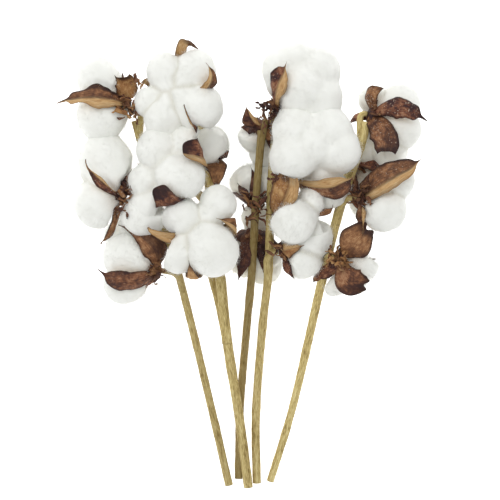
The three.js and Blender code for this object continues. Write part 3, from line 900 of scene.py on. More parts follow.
def directions(line):
    """The unit direction of a line at each of its points."""
    return unit(np.gradient(line, axis=0))


def turned(vectors, old, new):
    """Vectors turned by the smallest turn that brings each old direction to its new one."""
    c = np.cross(old, new)
    share = 1 / np.maximum(1 + (old * new).sum(axis=-1, keepdims=True), 1e-6)
    return vectors + np.cross(c, vectors) + np.cross(c, np.cross(c, vectors)) * share


# %% The lines of the stems and their shoots
STEM_POINTS = 170
CUP_LOW, CUP_HIGH = -1.2, 4.0
SHOOT_GAP = 0.35
SHOOT_PULL = (0.45, 0.4)
SHOOT_SAMPLES = 80
SHOOT_STEP, SHOOT_LEAST = 1.6, 14


def boll_axis(boll):
    """The unit direction in which a boll points."""
    turn, up = np.radians(boll["aim"])
    return np.array([np.cos(turn) * np.cos(up), np.sin(turn) * np.cos(up), np.sin(up)])


def shoot_line(boll, line):
    """The line of a side shoot: a cubic Bezier that leaves along its stem and ends under the cup."""
    axis = boll_axis(boll)
    at = boll["start"] * (len(line) - 1)
    start = np.array([np.interp(at, np.arange(len(line)), line[:, n]) for n in range(3)])
    along = directions(line)[int(round(at))]
    end = np.array(boll["base"], float) + axis * (CUP_LOW - SHOOT_GAP)
    span = np.linalg.norm(end - start)
    leave, arrive = start + along * span * SHOOT_PULL[0], end - axis * span * SHOOT_PULL[1]
    t = np.linspace(0, 1, SHOOT_SAMPLES)[:, None]
    r = 1 - t
    curve = r**3 * start + 3 * t * r**2 * leave + 3 * t**2 * r * arrive + t**3 * end
    return evenly(curve, max(SHOOT_LEAST, int(span / SHOOT_STEP)))


stem_lines = {key: catmull_rom(stem["route"], STEM_POINTS) for key, stem in STEMS.items()}
shoots = {name: shoot_line(boll, stem_lines[boll["stem"]]) for name, boll in BOLLS.items()}
print("shoots:", {name: len(line) for name, line in shoots.items()}, "points")

# %% A rod along a line
ANY_WAY = (0.31, 0.2, 0.93)
RIBS, RIB_HEIGHT, RIB_LEAN = 5, 0.035, 40
LUMP_ROUND, LUMP_ALONG = 3, 0.35
ROD_LUMPS = ((3.0, 0.11, 0), (1.3, 0.06, 7))
WRAP_PITCH, WRAP_STEP, WRAP_EDGE, WRAP_SHIFT = 11.0, 0.13, 0.08, 0.3
KNOT_EVERY, KNOT_HEIGHT, KNOT_POWER, KNOT_SHIFT = 61, 0.2, 8, 17
BARK_ALONG, BARK_ROUND = 0.22, 1.1
GROUND = 0.15


def rod(line, radii, sides, seed):
    """A rod: at angle a and distance d along the line, the radius is the even taper times
    1 + small ribs sin(5a + d/40), plus broad lumps of noise, a few knots, and a low spiral step
    that falls once every pitch as d/pitch + a/2pi grows, like a strip wound round the rod."""
    along = directions(line)
    first = unit(np.cross(along[0], ANY_WAY))
    side = turned(np.broadcast_to(first, line.shape), np.broadcast_to(along[0], line.shape), along)
    distance = lengths_along(line)
    d, a = np.meshgrid(distance, round_angles(sides), indexing="ij")
    taper = radii[0] + (radii[1] - radii[0]) * d / distance[-1]
    unrolled = np.stack([np.cos(a) * LUMP_ROUND, np.sin(a) * LUMP_ROUND, d * LUMP_ALONG], axis=-1)
    lumps = layered_noise(unrolled.reshape(-1, 3), ROD_LUMPS, seed).reshape(a.shape)
    ribs = RIB_HEIGHT * np.sin(RIBS * a + d / RIB_LEAN)
    wound = (d / WRAP_PITCH + a / (2 * np.pi) + seed * WRAP_SHIFT) % 1
    step = WRAP_STEP * (smooth_step(wound, 0, WRAP_EDGE) - wound)
    beat = np.cos((d + seed * KNOT_SHIFT) * 2 * np.pi / KNOT_EVERY)
    knots = KNOT_HEIGHT * np.maximum(0, beat) ** KNOT_POWER
    radius = taper * (1 + ribs) + lumps + step + knots
    arms = spokes(a, side[:, None], np.cross(along, side)[:, None])
    points, quads = closed_tube(line[:, None] + arms * radius[..., None])
    values = dict(
        along=np.concatenate([(d * BARK_ALONG).ravel(), [0, 0]]),
        across=np.concatenate([(a * radius.mean() * BARK_ROUND).ravel(), [0, 0]]),
        cut=np.concatenate([np.zeros(a.size), [1, 1]]),
    )
    return points, quads, values


def above_ground(points, low=GROUND):
    """The points, with none below the surface that the bunch lies on."""
    return np.concatenate([points[:, :2], np.maximum(points[:, 2:], low)], axis=1)


# %% Make the five stems with their shoots
STEM_SHADES = {1: 0.3, 2: 0.08, 3: 0.72, 4: 0.2, 5: 0.0}
STEM_SIDES, SHOOT_SIDES = 16, 12
SHOOT_RADIUS = 1.9
SHOOT_ROOT = 0.95
SHOOT_SHADE = 0.1
FIRST_SHOOT = 10

for key, stem in STEMS.items():
    parts = Parts()
    points, quads, values = rod(stem_lines[key], stem["radii"], STEM_SIDES, key)
    parts.add(above_ground(points), quads, seed=float(key), darkness=STEM_SHADES[key], **values)
    radii = (stem["radii"][1] * SHOOT_ROOT, SHOOT_RADIUS)
    shade = STEM_SHADES[key] + SHOOT_SHADE
    for number, (name, boll) in enumerate(BOLLS.items(), start=FIRST_SHOOT):
        if boll["stem"] == key:
            points, quads, values = rod(shoots[name], radii, SHOOT_SIDES, number)
            parts.add(above_ground(points), quads, seed=float(number), darkness=shade, **values)
    make_object(f"stalk_{key}", parts, BARK, "stem", f"stem_{key}")

# %% [markdown]
# ## Burrs
#
# A ripe seed case splits into four or five valves. Each is a stiff, pointed shell, like half
# of a small boat: its edges bend in round the lint, its tip dries into an outward claw, and a
# low ridge runs down its inside, where the wall between two locks was. A flat pointed shape
# that is bent afterwards would need many edits, so the valve is written as one function of
# how far along it (t) and how far across it (s) a point is. What is left of the calyx is a
# fringe of dry strips round the cup, and on some bolls a tangle of them beside it.

# %% The outlines of the valves
def outlined(widths, ragged, spike=1.0, lobes=0.0, corners=0.0):
    """A shape of valve: five values that guide its half width from root to tip, how ragged its
    edges are, where its spike starts, and how far its lobes or corners reach ahead of its end."""
    return dict(widths=widths, ragged=ragged, spike=spike, lobes=lobes, corners=corners)


VALVE_SHAPES = {
    "leaf": outlined((0.3, 1.1, 1.35, 0.5, 0.03), ragged=1.0, spike=0.88),
    "boat": outlined((0.35, 0.95, 1.5, 1.25, 0.03), ragged=0.9, spike=0.83),
    "wavy": outlined((0.35, 1.05, 1.6, 1.15, 0.03), ragged=2.1, spike=0.8),
    "fork": outlined((0.35, 0.8, 0.5, 0.45, 0.8), ragged=0.4, corners=6.0),
    "shield": outlined((1.0, 1.25, 1.1, 0.7, 0.12), ragged=0.8),
    "square": outlined((0.6, 1.1, 1.1, 1.2, 0.7), ragged=0.7, corners=2.2),
    "bowl": outlined((0.85, 1.15, 1.45, 1.1, 0.03), ragged=0.7, spike=0.86),
    "hood": outlined((0.3, 0.8, 1.3, 1.5, 0.85), ragged=0.7, corners=-4.0),
    "heart": outlined((0.35, 0.95, 1.35, 1.35, 0.7), ragged=0.1, lobes=4.0),
}


def outline(t, widths):
    """Half the width of a valve, as a share: a curve of degree 4 with five control values."""
    a, b, c, d, e = widths
    r = 1 - t
    return a * r**4 + 4 * b * t * r**3 + 6 * c * t**2 * r**2 + 4 * d * t**3 * r + e * t**4


print("valve shapes:", ", ".join(VALVE_SHAPES))

# %% The frame of a boll and the line of a valve
BOLL_CENTRE = 21.0
PLAIN_TIP = (100.0, 12.0)
PLAIN_SCATTER = 14.0
BELLY_SHARE = 0.55
VALVE_ROOT = (3.6, 2.0)
MOST_SPECKLED = 0.8
CURL_SPREAD = 0.8
UP = np.array([0, 0, 1.0])


def frame_of(boll):
    """The axis of a boll, two directions across it, its base and the middle of its lint."""
    turn, up = np.radians(boll["aim"])
    level = np.array([np.cos(turn), np.sin(turn), 0])
    axis, across = boll_axis(boll), UP * np.cos(up) - level * np.sin(up)
    return dict(
        axis=axis,
        across=across,
        side=np.cross(axis, across),
        base=np.array(boll["base"], float),
        middle=np.array(boll["locks"], float)[:, :3].mean(axis=0),
    )


def plain_places(place, valve, seed):
    """The belly and tip of a plain valve, on a circle round the middle of its boll."""
    heart = place["base"] + place["axis"] * BOLL_CENTRE
    turn = np.radians(valve["place"] + PLAIN_SCATTER * (chance(seed, 1) - 0.5))
    outward = spokes(turn, place["across"], place["side"])
    tip = np.radians(valve["end"] or PLAIN_TIP[0] + PLAIN_TIP[1] * chance(seed, 2))
    polar = np.array([tip * BELLY_SHARE, tip])[:, None]
    return heart + (outward * np.sin(polar) - place["axis"] * np.cos(polar)) * valve["reach"]


def valve_line(place, valve, seed):
    """The three points of the quadratic Bezier that a valve follows, how it faces half-way, and
    how it looks."""
    if "belly" in valve:
        belly, tip = np.array(valve["belly"], float), np.array(valve["tip"], float)
    else:
        belly, tip = plain_places(place, valve, seed)
    outward = belly - place["base"]
    outward = unit(outward - place["axis"] * (outward @ place["axis"]))
    root = place["base"] + place["axis"] * VALVE_ROOT[1] + outward * VALVE_ROOT[0]
    along = unit(tip - root)
    face = np.array(valve["face"], float) if valve.get("face") else belly - place["middle"]
    looks = {key: valve[key] for key in ("wide", "strip", "pale", "rim", "hold")}
    return dict(
        root=root,
        bend=2 * belly - (root + tip) / 2,
        tip=tip,
        along=along,
        face=unit(face - along * (face @ along)),
        shape=VALVE_SHAPES[valve["shape"]],
        speckled=MOST_SPECKLED * chance(seed, 9) ** 3,
        curl=2 * CURL_SPREAD * chance(seed, 12) - CURL_SPREAD,
        phase=2 * np.pi * chance(seed, 3),
        seed=seed,
        **looks,
    )


# %% The middle surface of a valve
VALVE_CUP, CUP_EARLY = 2.2, 0.15
STRIP_FLARE, FLARE_EARLY = 2.6, 0.1
VALVE_HOOK = (0.75, 3.5)
TIP_CURL = (0.76, 3.2)
VALVE_WAVE = (0.7, 9.0, 1.5)
SPIKE_STEP, SPIKE_THIN = 0.08, 0.7
EDGE_SIDE = 5
EDGE_STEPS = ((4.5, 0.16), (15, 0.05))


def valve_frame(line, t):
    """The middle line of a valve at t, with its direction along, its outward face and across."""
    t = t[:, None]
    point = (1 - t) ** 2 * line["root"] + 2 * t * (1 - t) * line["bend"] + t**2 * line["tip"]
    along = unit(2 * (1 - t) * (line["bend"] - line["root"]) + 2 * t * (line["tip"] - line["bend"]))
    face = np.broadcast_to(line["face"], along.shape)
    out = turned(face, np.broadcast_to(line["along"], along.shape), along)
    return point, along, out, np.cross(along, out)


def arch(t, early):
    """A rise and fall along a valve, sin(pi u), where u is t and a little more, up to 1."""
    return np.sin(np.pi * np.minimum(1, t + early))


def tip_bend(t, start):
    """A bend that grows as the square of the way from its start, where it is 0, to the tip."""
    return np.maximum(0, (t - start) / (1 - start)) ** 2


def strip_share(line, s):
    """How far into the rolled-out margin each place across is, from 0 at its fold to 1 at the rim."""
    if line["strip"] is None:
        return np.zeros_like(s)
    side, fold = line["strip"]
    return np.clip((s * side - fold) / (1 - fold), 0, 1)


def edge_wander(line, t, s):
    """How much wider or narrower the two edges of a valve are than its outline: noise along each
    edge in long and short steps, which fades to nothing at the middle line."""
    t, s = np.broadcast_arrays(t, s)
    wander = np.zeros(t.size)
    for number, (steps, share) in enumerate(EDGE_STEPS, start=int(line["seed"] * 100)):
        at = np.stack([t * steps, np.sign(s) * EDGE_SIDE, t * 0], axis=-1)
        wander += share * lattice_noise(at.reshape(-1, 3), 1.0, number)
    return line["shape"]["ragged"] * wander.reshape(t.shape) * np.abs(s)


def valve_surface(line, t, s):
    """Points of a valve's middle surface for arrays t (root to tip) and s (-1 to 1 across).
    From the middle line a point goes s times the width across, and outwards by the hook of the
    tip, less the cup of the edges, which grows with s squared, plus waves that grow to the edge.
    The last part of a pointed valve narrows to a thin spike, which curls to one side.
    A rolled margin flares outwards, and lobes or corners push the end of a blunt valve ahead."""
    point, along, out, across = valve_frame(line, t)
    tt, ss = t[:, None], s[None, :]
    shape = line["shape"]
    hook = VALVE_HOOK[1] * tip_bend(tt, VALVE_HOOK[0])
    bent = -VALVE_CUP * arch(tt, CUP_EARLY) * ss**2
    height, along_rate, across_rate = VALVE_WAVE
    wave = height * np.sin(along_rate * tt + across_rate * ss + line["phase"]) * ss**2
    flare = STRIP_FLARE * strip_share(line, ss) * arch(tt, FLARE_EARLY)
    wide = line["wide"] * outline(tt, shape["widths"]) * (1 + edge_wander(line, tt, ss))
    wide = wide * (1 - SPIKE_THIN * smooth_step(tt, shape["spike"], shape["spike"] + SPIKE_STEP))
    curl = line["curl"] * TIP_CURL[1] * tip_bend(tt, TIP_CURL[0])
    aside, lift = ss * wide + curl, hook + bent + wave + flare
    ahead = (shape["lobes"] * np.sin(np.pi * np.abs(ss)) ** 2 + shape["corners"] * ss**4) * tt**3
    middle = point[:, None] + across[:, None] * aside[..., None] + out[:, None] * lift[..., None]
    return middle + along[:, None] * ahead[..., None], out


# %% A valve with its wall
VALVE_GRID, VALVE_CROWDED = (32, 17), 0.9
VALVE_WALL = (0.75, 0.35)
VALVE_KEEL, KEEL_NARROW, KEEL_EARLY = 1.0, 3, 0.1
RIDGE, RIDGE_RATE = 0.16, 9
CRUMPLES = ((4.0, 0.35, 0), (1.6, 0.16, 3))
STRIP_RIDGE, STRIP_EDGE = 0.35, 0.12
EDGE_ACROSS, EDGE_ALONG, EDGE_INSIDE = (0.7, 0.98), (0.8, 0.97), 0.8
RIM_DARK, RIM_STEP = 0.8, 0.3
FOLD_WIDE, FOLD_DARK = 0.25, 0.5
MARGIN_STEP, MARGIN_CLEAN = (0.02, 0.16), 0.6
HUSK_ALONG, HUSK_ACROSS = 8, 0.75


def valve_edge(line, tt, ss, rolled, margin):
    """How dark a valve is outside and inside, from 0 to 1: dark towards its edges, its tip and a
    dark rim, and in the fold of a rolled margin, but less so on the pale margin itself."""
    edge = np.maximum(smooth_step(np.abs(ss), *EDGE_ACROSS), smooth_step(tt, *EDGE_ALONG))
    if line["rim"] is not None:
        side, start = line["rim"]
        edge = np.maximum(edge, RIM_DARK * smooth_step(ss * side, start, start + RIM_STEP))
    fold = np.where((rolled > 0) & (rolled < FOLD_WIDE), FOLD_DARK, 0.0)
    outside = np.maximum(edge * (1 - MARGIN_CLEAN * margin), fold)
    return np.concatenate([outside.ravel(), (edge * EDGE_INSIDE).ravel()])


def valve_sheet(line):
    """A closed valve: the middle surface moved out and in by half its wall, which thins to the
    edge, with fine lengthwise ridges outside and the ridge of the old wall inside."""
    rows, columns = VALVE_GRID
    t, s = np.linspace(0, 1, rows) ** VALVE_CROWDED, np.linspace(-1, 1, columns)
    middle, out = valve_surface(line, t, s)
    tt, ss = np.meshgrid(t, s, indexing="ij")
    thick = VALVE_WALL[1] + (VALVE_WALL[0] - VALVE_WALL[1]) * (1 - ss**2)
    ridges = RIDGE * np.cos(RIDGE_RATE * ss + line["phase"]) * np.sin(np.pi * tt)
    crumple = layered_noise(middle.reshape(-1, 3), CRUMPLES, int(line["seed"] * 10))
    keel = VALVE_KEEL * np.maximum(0, 1 - np.abs(ss) * KEEL_NARROW) * arch(tt, KEEL_EARLY)
    rolled = strip_share(line, ss)
    fold = STRIP_RIDGE * smooth_step(rolled, 0.0, STRIP_EDGE)
    lift = ridges * (rolled == 0) + crumple.reshape(tt.shape) + fold
    rise = out[:, None] * lift[..., None]
    outer = middle + rise + out[:, None] * (thick / 2)[..., None]
    inner = middle + rise - out[:, None] * (thick / 2 + keel)[..., None]
    points, quads = closed_sheet(outer, inner)
    margin = smooth_step(rolled, *MARGIN_STEP)
    values = dict(
        along=np.tile((tt * HUSK_ALONG).ravel(), 2),
        across=np.tile((ss * line["wide"] * HUSK_ACROSS).ravel(), 2),
        inside=np.concatenate([margin.ravel(), np.ones(tt.size)]),
        edge=valve_edge(line, tt, ss, rolled, margin),
    )
    return points, quads, values


# %% The cup
CUP_RADII = ((0.0, 2.2), (0.15, 5.0), (0.6, 6.0), (0.85, 5.2), (1.0, 3.4))
CUP_ROWS, CUP_SIDES = 9, 28
CUP_LOBES, CUP_WRINKLES, CUP_RIM = (5, 0.07), (13, 0.05), (7, 0.12)


def cup_rings(place, seed):
    """The cup under the valves: turned round the axis, with five lobes and fine wrinkles that
    grow towards its ragged upper edge."""
    h, a = np.meshgrid(np.linspace(0, 1, CUP_ROWS), round_angles(CUP_SIDES), indexing="ij")
    (lobes, lobe), (wrinkles, wrinkle), (peaks, peak) = CUP_LOBES, CUP_WRINKLES, CUP_RIM
    swollen = 1 + lobe * np.sin(lobes * a + seed) * h + wrinkle * np.sin(wrinkles * a + 2 * seed) * h
    radius = np.interp(h, *zip(*CUP_RADII)) * swollen
    height = CUP_LOW + (CUP_HIGH - CUP_LOW) * h * (1 + peak * np.sin(peaks * a + seed))
    arms = spokes(a, place["across"], place["side"])
    return place["base"] + arms * radius[..., None] + place["axis"] * height[..., None]


# %% A dry strip along a line
STRIP_STATIONS = np.linspace(0, 1, 9)
SHAKE_SIZE, STRIP_SHAKE = 2.6, (0.4, 2.2)
STRIP_ENDS, STRIP_THIN = (0.1, 0.88), 0.03
STRIP_WAVE, STRIP_CURL = (0.5, 7, 2), 0.6
STRIP_HALF_WALL = 0.2
STRIP_DARK, STRIP_ALONG, STRIP_ACROSS = 0.45, 4, 3


def dry_strip(line, outward, sideways, wide, twist, seed):
    """A closed strip along a line: it is pushed about by noise that grows along it, twists evenly
    about its own line, and narrows at both ends as sin(pi t) does."""
    t, s = STRIP_STATIONS, np.linspace(-1, 1, 3)
    tt, ss = np.meshgrid(t, s, indexing="ij")
    shaken = np.stack([lattice_noise(line, SHAKE_SIZE, int(seed * 10) + n) for n in (1, 2, 3)], axis=1)
    line = line + shaken * (STRIP_SHAKE[0] + STRIP_SHAKE[1] * t)[:, None]
    ends = np.sin(np.pi * (STRIP_ENDS[0] + STRIP_ENDS[1] * t))
    width = wide * np.sqrt(np.maximum(STRIP_THIN, ends))
    across, normal = spokes(twist * t, sideways, outward), spokes(twist * t, outward, -sideways)
    height, along_rate, across_rate = STRIP_WAVE
    curl = height * np.sin(along_rate * tt + across_rate * ss + seed) - STRIP_CURL * ss**2
    aside = across[:, None] * (ss * width[:, None])[..., None]
    middle = line[:, None] + aside + normal[:, None] * curl[..., None]
    wall = normal[:, None] * STRIP_HALF_WALL
    points, quads = closed_sheet(middle + wall, middle - wall)
    values = dict(
        along=np.tile((tt * STRIP_ALONG).ravel(), 2),
        across=np.tile((ss * STRIP_ACROSS).ravel(), 2),
        inside=np.zeros(2 * tt.size),
        edge=np.full(2 * tt.size, STRIP_DARK),
    )
    return points, quads, values


# %% A strip of the calyx
CALYX_LONG, CALYX_WIDE = (7, 7), (0.8, 1.9)
CALYX_LEAN, CALYX_TWIST = (-0.5, 2.3), 4.0
CALYX_AWAY, CALYX_UP = (4.9, 0.55), (0.9, 0.6)


def calyx_strip(place, turn, seed):
    """A strip of the dry calyx: it leaves the rim of the cup and bends away by an angle that grows
    evenly along it."""
    t = STRIP_STATIONS
    long = CALYX_LONG[0] + CALYX_LONG[1] * chance(seed, 5)
    wide = CALYX_WIDE[0] + CALYX_WIDE[1] * chance(seed, 6) ** 2
    outward = spokes(turn, place["across"], place["side"])
    bend = (CALYX_LEAN[0] + CALYX_LEAN[1] * chance(seed, 7)) * t
    away = CALYX_AWAY[0] + long * np.sin(bend) * CALYX_AWAY[1]
    up = long * t * np.cos(bend) * CALYX_UP[0] - CALYX_UP[1]
    line = place["base"] + outward * away[:, None] + place["axis"] * up[:, None]
    twist = CALYX_TWIST * (chance(seed, 8) - 0.5)
    return dry_strip(line, outward, np.cross(place["axis"], outward), wide, twist, seed)


# %% A strip of a tangle
TANGLE_LONG, TANGLE_WIDE = (4, 5), (0.4, 1.5)
TANGLE_SPREAD, TANGLE_DROOP, TANGLE_TWIST = 1.7, 0.4, 5.0
TANGLE_RISE = (1.1, 0.4)


def tangled_strip(scraps, seed):
    """A strip of a tangle: it starts at a random point of the space that the tangle fills, runs in
    a random direction, steeper or flatter, and curls over towards the ground."""
    t = STRIP_STATIONS
    shift = np.array([chance(seed, n) - 0.5 for n in (1, 2, 3)]) * TANGLE_SPREAD
    start = np.array(scraps["middle"], float) + shift * [*scraps["half"], min(scraps["half"])]
    long = TANGLE_LONG[0] + TANGLE_LONG[1] * chance(seed, 5)
    wide = TANGLE_WIDE[0] + TANGLE_WIDE[1] * chance(seed, 6) ** 2
    turn = 2 * np.pi * chance(seed, 4)
    way = np.array([np.cos(turn), np.sin(turn), TANGLE_RISE[0] * (chance(seed, 9) - TANGLE_RISE[1])])
    line = start + way * (t * long)[:, None] - UP * (TANGLE_DROOP * long * t**2)[:, None]
    sideways = np.array([-np.sin(turn), np.cos(turn), 0.0])
    return dry_strip(line, UP, sideways, wide, TANGLE_TWIST * (chance(seed, 8) - 0.5), seed)


# %% Make the burrs
VALVE_SEED, CALYX_SEED, TANGLE_SEED = 0.37, 0.21, 0.17
VALVE_DARK = (0.75, 0.25)
CUP_DARK, CUP_EDGE, CUP_SEED = 0.9, 0.6, 1.7
CALYX_STRIPS, CALYX_TURN, CALYX_SCATTER = 16, 1.9, 0.9
CALYX_SHADE = (0.25, 0.75)
TANGLE_SPECKS, TANGLE_SHADE = 0.9, 1.1


def add_valve(parts, line, boll):
    """Adds a valve. The boll says whether its outside is darker or more speckled than others."""
    points, quads, values = valve_sheet(line)
    values["edge"] = np.maximum(values["edge"], boll.get("dark", 0.0) * (1 - values["inside"]))
    values["speckled"] = max(line["speckled"], boll.get("frost", 0.0))
    values["darkness"] = VALVE_DARK[0] + VALVE_DARK[1] * chance(line["seed"], 8)
    parts.add(above_ground(points), quads, seed=line["seed"] * 3, pale=line["pale"], **values)


def add_cup(parts, place, number):
    """Adds the cup, whose streaks run along its axis."""
    points, quads = closed_tube(cup_rings(place, number))
    along = (points - place["base"]) @ place["axis"]
    values = dict(seed=number * CUP_SEED, darkness=CUP_DARK, edge=CUP_EDGE)
    parts.add(above_ground(points), quads, along=along, **values)


def add_strip(parts, strip, seed, shade):
    """Adds a dry strip, dark or pale by its shade."""
    points, quads, values = strip
    parts.add(above_ground(points), quads, seed=seed, darkness=shade, pale=1 - shade, **values)


places = {name: frame_of(boll) for name, boll in BOLLS.items()}
lines, burr_pieces = {}, []
for number, (name, boll) in enumerate(BOLLS.items(), start=1):
    place, parts = places[name], Parts()
    valves = enumerate(boll["valves"])
    lines[name] = [valve_line(place, valve, number + VALVE_SEED * k) for k, valve in valves]
    for line in lines[name]:
        add_valve(parts, line, boll)
    add_cup(parts, place, number)
    for k in range(CALYX_STRIPS):
        turn = number * CALYX_TURN + k * 2 * np.pi / CALYX_STRIPS + CALYX_SCATTER * chance(number, k)
        shade = CALYX_SHADE[0] + CALYX_SHADE[1] * chance(number, k + 10)
        add_strip(parts, calyx_strip(place, turn, number + CALYX_SEED * k), number + k * 5.0, shade)
    for scraps in boll.get("scraps", []):
        for k in range(scraps["count"]):
            strip = tangled_strip(scraps, number + TANGLE_SEED * k)
            strip[2]["speckled"] = TANGLE_SPECKS * chance(number, k + 90) ** 2
            shade = scraps["shade"] + TANGLE_SHADE * (chance(number, k + 60) - 0.5)
            add_strip(parts, strip, number + k * 3.0, np.clip(shade, 0, 1))
    burr_pieces.append(make_object(f"dry_burr_{name}", parts, HUSK, "burr", f"burr_{name}"))
print("burrs:", sum(triangle_count(piece) for piece in burr_pieces), "triangles in", len(burr_pieces))

# %% [markdown]
# ## Lint
#
# The lint of a boll is a few soft locks that swell from one heart, as far as the valves, the
# stems and the neighbours let them. Seen from the heart, its surface is a distance for each
# direction, so it is a function of two angles: the soft maximum of the reach of a set of
# spheres, three for each lock, pressed in under every valve. That grid is crowded at its two
# poles, so a voxel remesh evens it out, and it also rounds the creases as real fibres do.

# %% How far the lint reaches
CORE_REACH = 13.0
FOOT = (0.5, 0.8)
NECK = (0.5, 0.85)
CUP_TO_LINT = 7.0
LOCK_BLEND = 12
FURROW_DEPTH = 1.9
FURROW_WIDTH = 2.2


def spheres_of(boll, place):
    """Middles, from the heart of the boll, and radii of the spheres that its lint fills."""
    locks = np.array(boll["locks"], float)
    cup = place["base"] + place["axis"] * CUP_TO_LINT
    feet = cup + (locks[:, :3] - cup) * FOOT[0]
    necks = place["middle"] + (locks[:, :3] - place["middle"]) * NECK[0]
    middles = np.concatenate([locks[:, :3], feet, necks]) - place["middle"]
    radii = np.concatenate([locks[:, 3], locks[:, 3] * FOOT[1], locks[:, 3] * NECK[1]])
    return middles, radii


def sphere_reach(ways, middles, radii):
    """The distance to the far side of each sphere in each direction, or 0 where it is missed."""
    ahead = ways @ middles.T
    under = radii**2 - ((middles**2).sum(axis=1) - ahead**2)
    return np.where(under > 0, np.maximum(0, ahead + np.sqrt(np.maximum(under, 0))), 0)


def free_reach(ways, middles, radii):
    """The distance to the far side of each sphere in each direction, and of the core, joined by a
    soft maximum: the twelfth root of the sum of their twelfth powers."""
    far = sphere_reach(ways, middles, radii)
    return ((far**LOCK_BLEND).sum(axis=1) + CORE_REACH**LOCK_BLEND) ** (1 / LOCK_BLEND)


def furrow(ways, middles, radii):
    """1 where two locks reach equally far, falling off as exp(-(d/w)^2) with the difference d."""
    far = sphere_reach(ways, middles, radii)
    of_locks = np.sort(far.reshape(len(ways), 3, -1).max(axis=1), axis=1)
    return np.exp(-(((of_locks[:, -1] - of_locks[:, -2]) / FURROW_WIDTH) ** 2))


for name, boll in BOLLS.items():
    places[name]["spheres"] = spheres_of(boll, places[name])
print("spheres:", sum(len(place["spheres"][1]) for place in places.values()))

# %% Lint held in by the valves
PRESS_ACROSS, PRESS_COLUMNS = 0.92, 7
PRESS_ALONG, PRESS_ROWS = 0.97, 22
PRESS_GAP, PRESS_LEAST = 1.7, 0.7
PRESS_EDGE = (1.0, 4.4)


def pressed_reach(ways, reach, place, boll_lines):
    """The reach, held under each valve: near a direction in which the valve is seen from the
    heart, the lint stops a gap below the valve, and it swells back over a soft edge beside it."""
    s = np.linspace(-PRESS_ACROSS, PRESS_ACROSS, PRESS_COLUMNS)
    for line in boll_lines:
        t = np.linspace(line["hold"], PRESS_ALONG, PRESS_ROWS)
        surface = valve_surface(line, t, s)[0].reshape(-1, 3) - place["middle"]
        distance = np.linalg.norm(surface, axis=1)
        spread = (ways @ unit(surface).T).astype(np.float32)
        nearest = spread.argmax(axis=1)
        over = distance[nearest]
        aside = np.arccos(np.clip(spread[np.arange(len(ways)), nearest], -1, 1)) * over
        cover = 1 - smooth_step(aside, *PRESS_EDGE)
        reach = np.minimum(reach, reach + cover * np.minimum(0, over - PRESS_GAP - reach))
    return np.maximum(reach, CORE_REACH * PRESS_LEAST)


# %% Lint beside lint
SWELL, SWELL_WIDTH = 0.045, 0.13
MEETING = 0.006
MOST_PUSHED, HALVINGS = 0.45, 7


def give_way(points, place, others):
    """Where the lint of two bolls would overlap, it stops where both are equally full. A point is
    moved back towards its own heart until it lies as deep in the other lint as in its own, which
    is found by halving. Beside that line it swells by exp(-(d/w)^2) with its distance d, so that
    the fold isn't sharp."""
    for other in others:
        from_other = points - other["middle"]
        apart = np.linalg.norm(from_other, axis=1) / free_reach(unit(from_other), *other["spheres"]) - 1
        swell = 1 + SWELL * np.exp(-((np.maximum(apart, 0) / SWELL_WIDTH) ** 2))
        away = (points - place["middle"]) * swell[:, None]
        low, high = np.full(len(points), MOST_PUSHED), np.ones(len(points))
        for _ in range(HALVINGS):
            half = (low + high) / 2
            from_other = place["middle"] + away * half[:, None] - other["middle"]
            depth = np.linalg.norm(from_other, axis=1) / free_reach(unit(from_other), *other["spheres"])
            inside = depth < half
            high, low = np.where(inside, half, high), np.where(inside, low, half)
        points = place["middle"] + away * np.where(high < 1, high + MEETING, 1.0)[:, None]
    return points


# %% Lint round the stems
ROD_GAP, ROD_NEAR = 0.3, 8
SHOOT_CLEAR = 2.1


def round_rods(points, rods):
    """Points that lie in a rod are moved straight out from its line, to a small gap from it."""
    for line, radius in rods:
        low, high = line.min(axis=0) - ROD_NEAR, line.max(axis=0) + ROD_NEAR
        near = (points > low).all(axis=1) & (points < high).all(axis=1)
        if not near.any():
            continue
        some = points[near]
        apart = np.linalg.norm(some[:, None] - line[None], axis=2)
        nearest = apart.argmin(axis=1)
        away = some - line[nearest]
        along = directions(line)[nearest]
        away = away - along * (away * along).sum(axis=1, keepdims=True)
        distance = np.linalg.norm(away, axis=1, keepdims=True)
        push = np.maximum(0, radius + ROD_GAP - distance)
        points[near] = some + unit(away) * push
    return points


all_rods = [(stem_lines[key], max(stem["radii"])) for key, stem in STEMS.items()]
all_rods += [(line, SHOOT_CLEAR) for line in shoots.values()]
print("lint keeps clear of", len(all_rods), "rods")

# %% From two angles to an even mesh
ROWS, COLUMNS = 120, 200
NEIGHBOUR = 75
VOXEL = 1.2
SOFTENING, SOFT_ROUNDS = 0.5, 4


def lint_surface(name):
    """The lint of a boll as a closed grid over two angles, from one pole to the other."""
    place = places[name]
    polar = (np.arange(ROWS) + 0.5) * np.pi / ROWS
    p, a = np.meshgrid(polar, round_angles(COLUMNS), indexing="ij")
    ways = np.stack([np.sin(p) * np.cos(a), np.sin(p) * np.sin(a), np.cos(p)], axis=-1).reshape(-1, 3)
    depth = FURROW_DEPTH * BOLLS[name].get("furrows", 1.0)
    free = free_reach(ways, *place["spheres"]) - depth * furrow(ways, *place["spheres"])
    reach = pressed_reach(ways, free, place, lines[name])
    apart = {key: np.linalg.norm(other["middle"] - place["middle"]) for key, other in places.items()}
    near = [places[key] for key in places if key != name and apart[key] < NEIGHBOUR]
    points = give_way(place["middle"] + ways * reach[:, None], place, near)
    return closed_tube(round_rods(points, all_rods).reshape(ROWS, COLUMNS, 3))


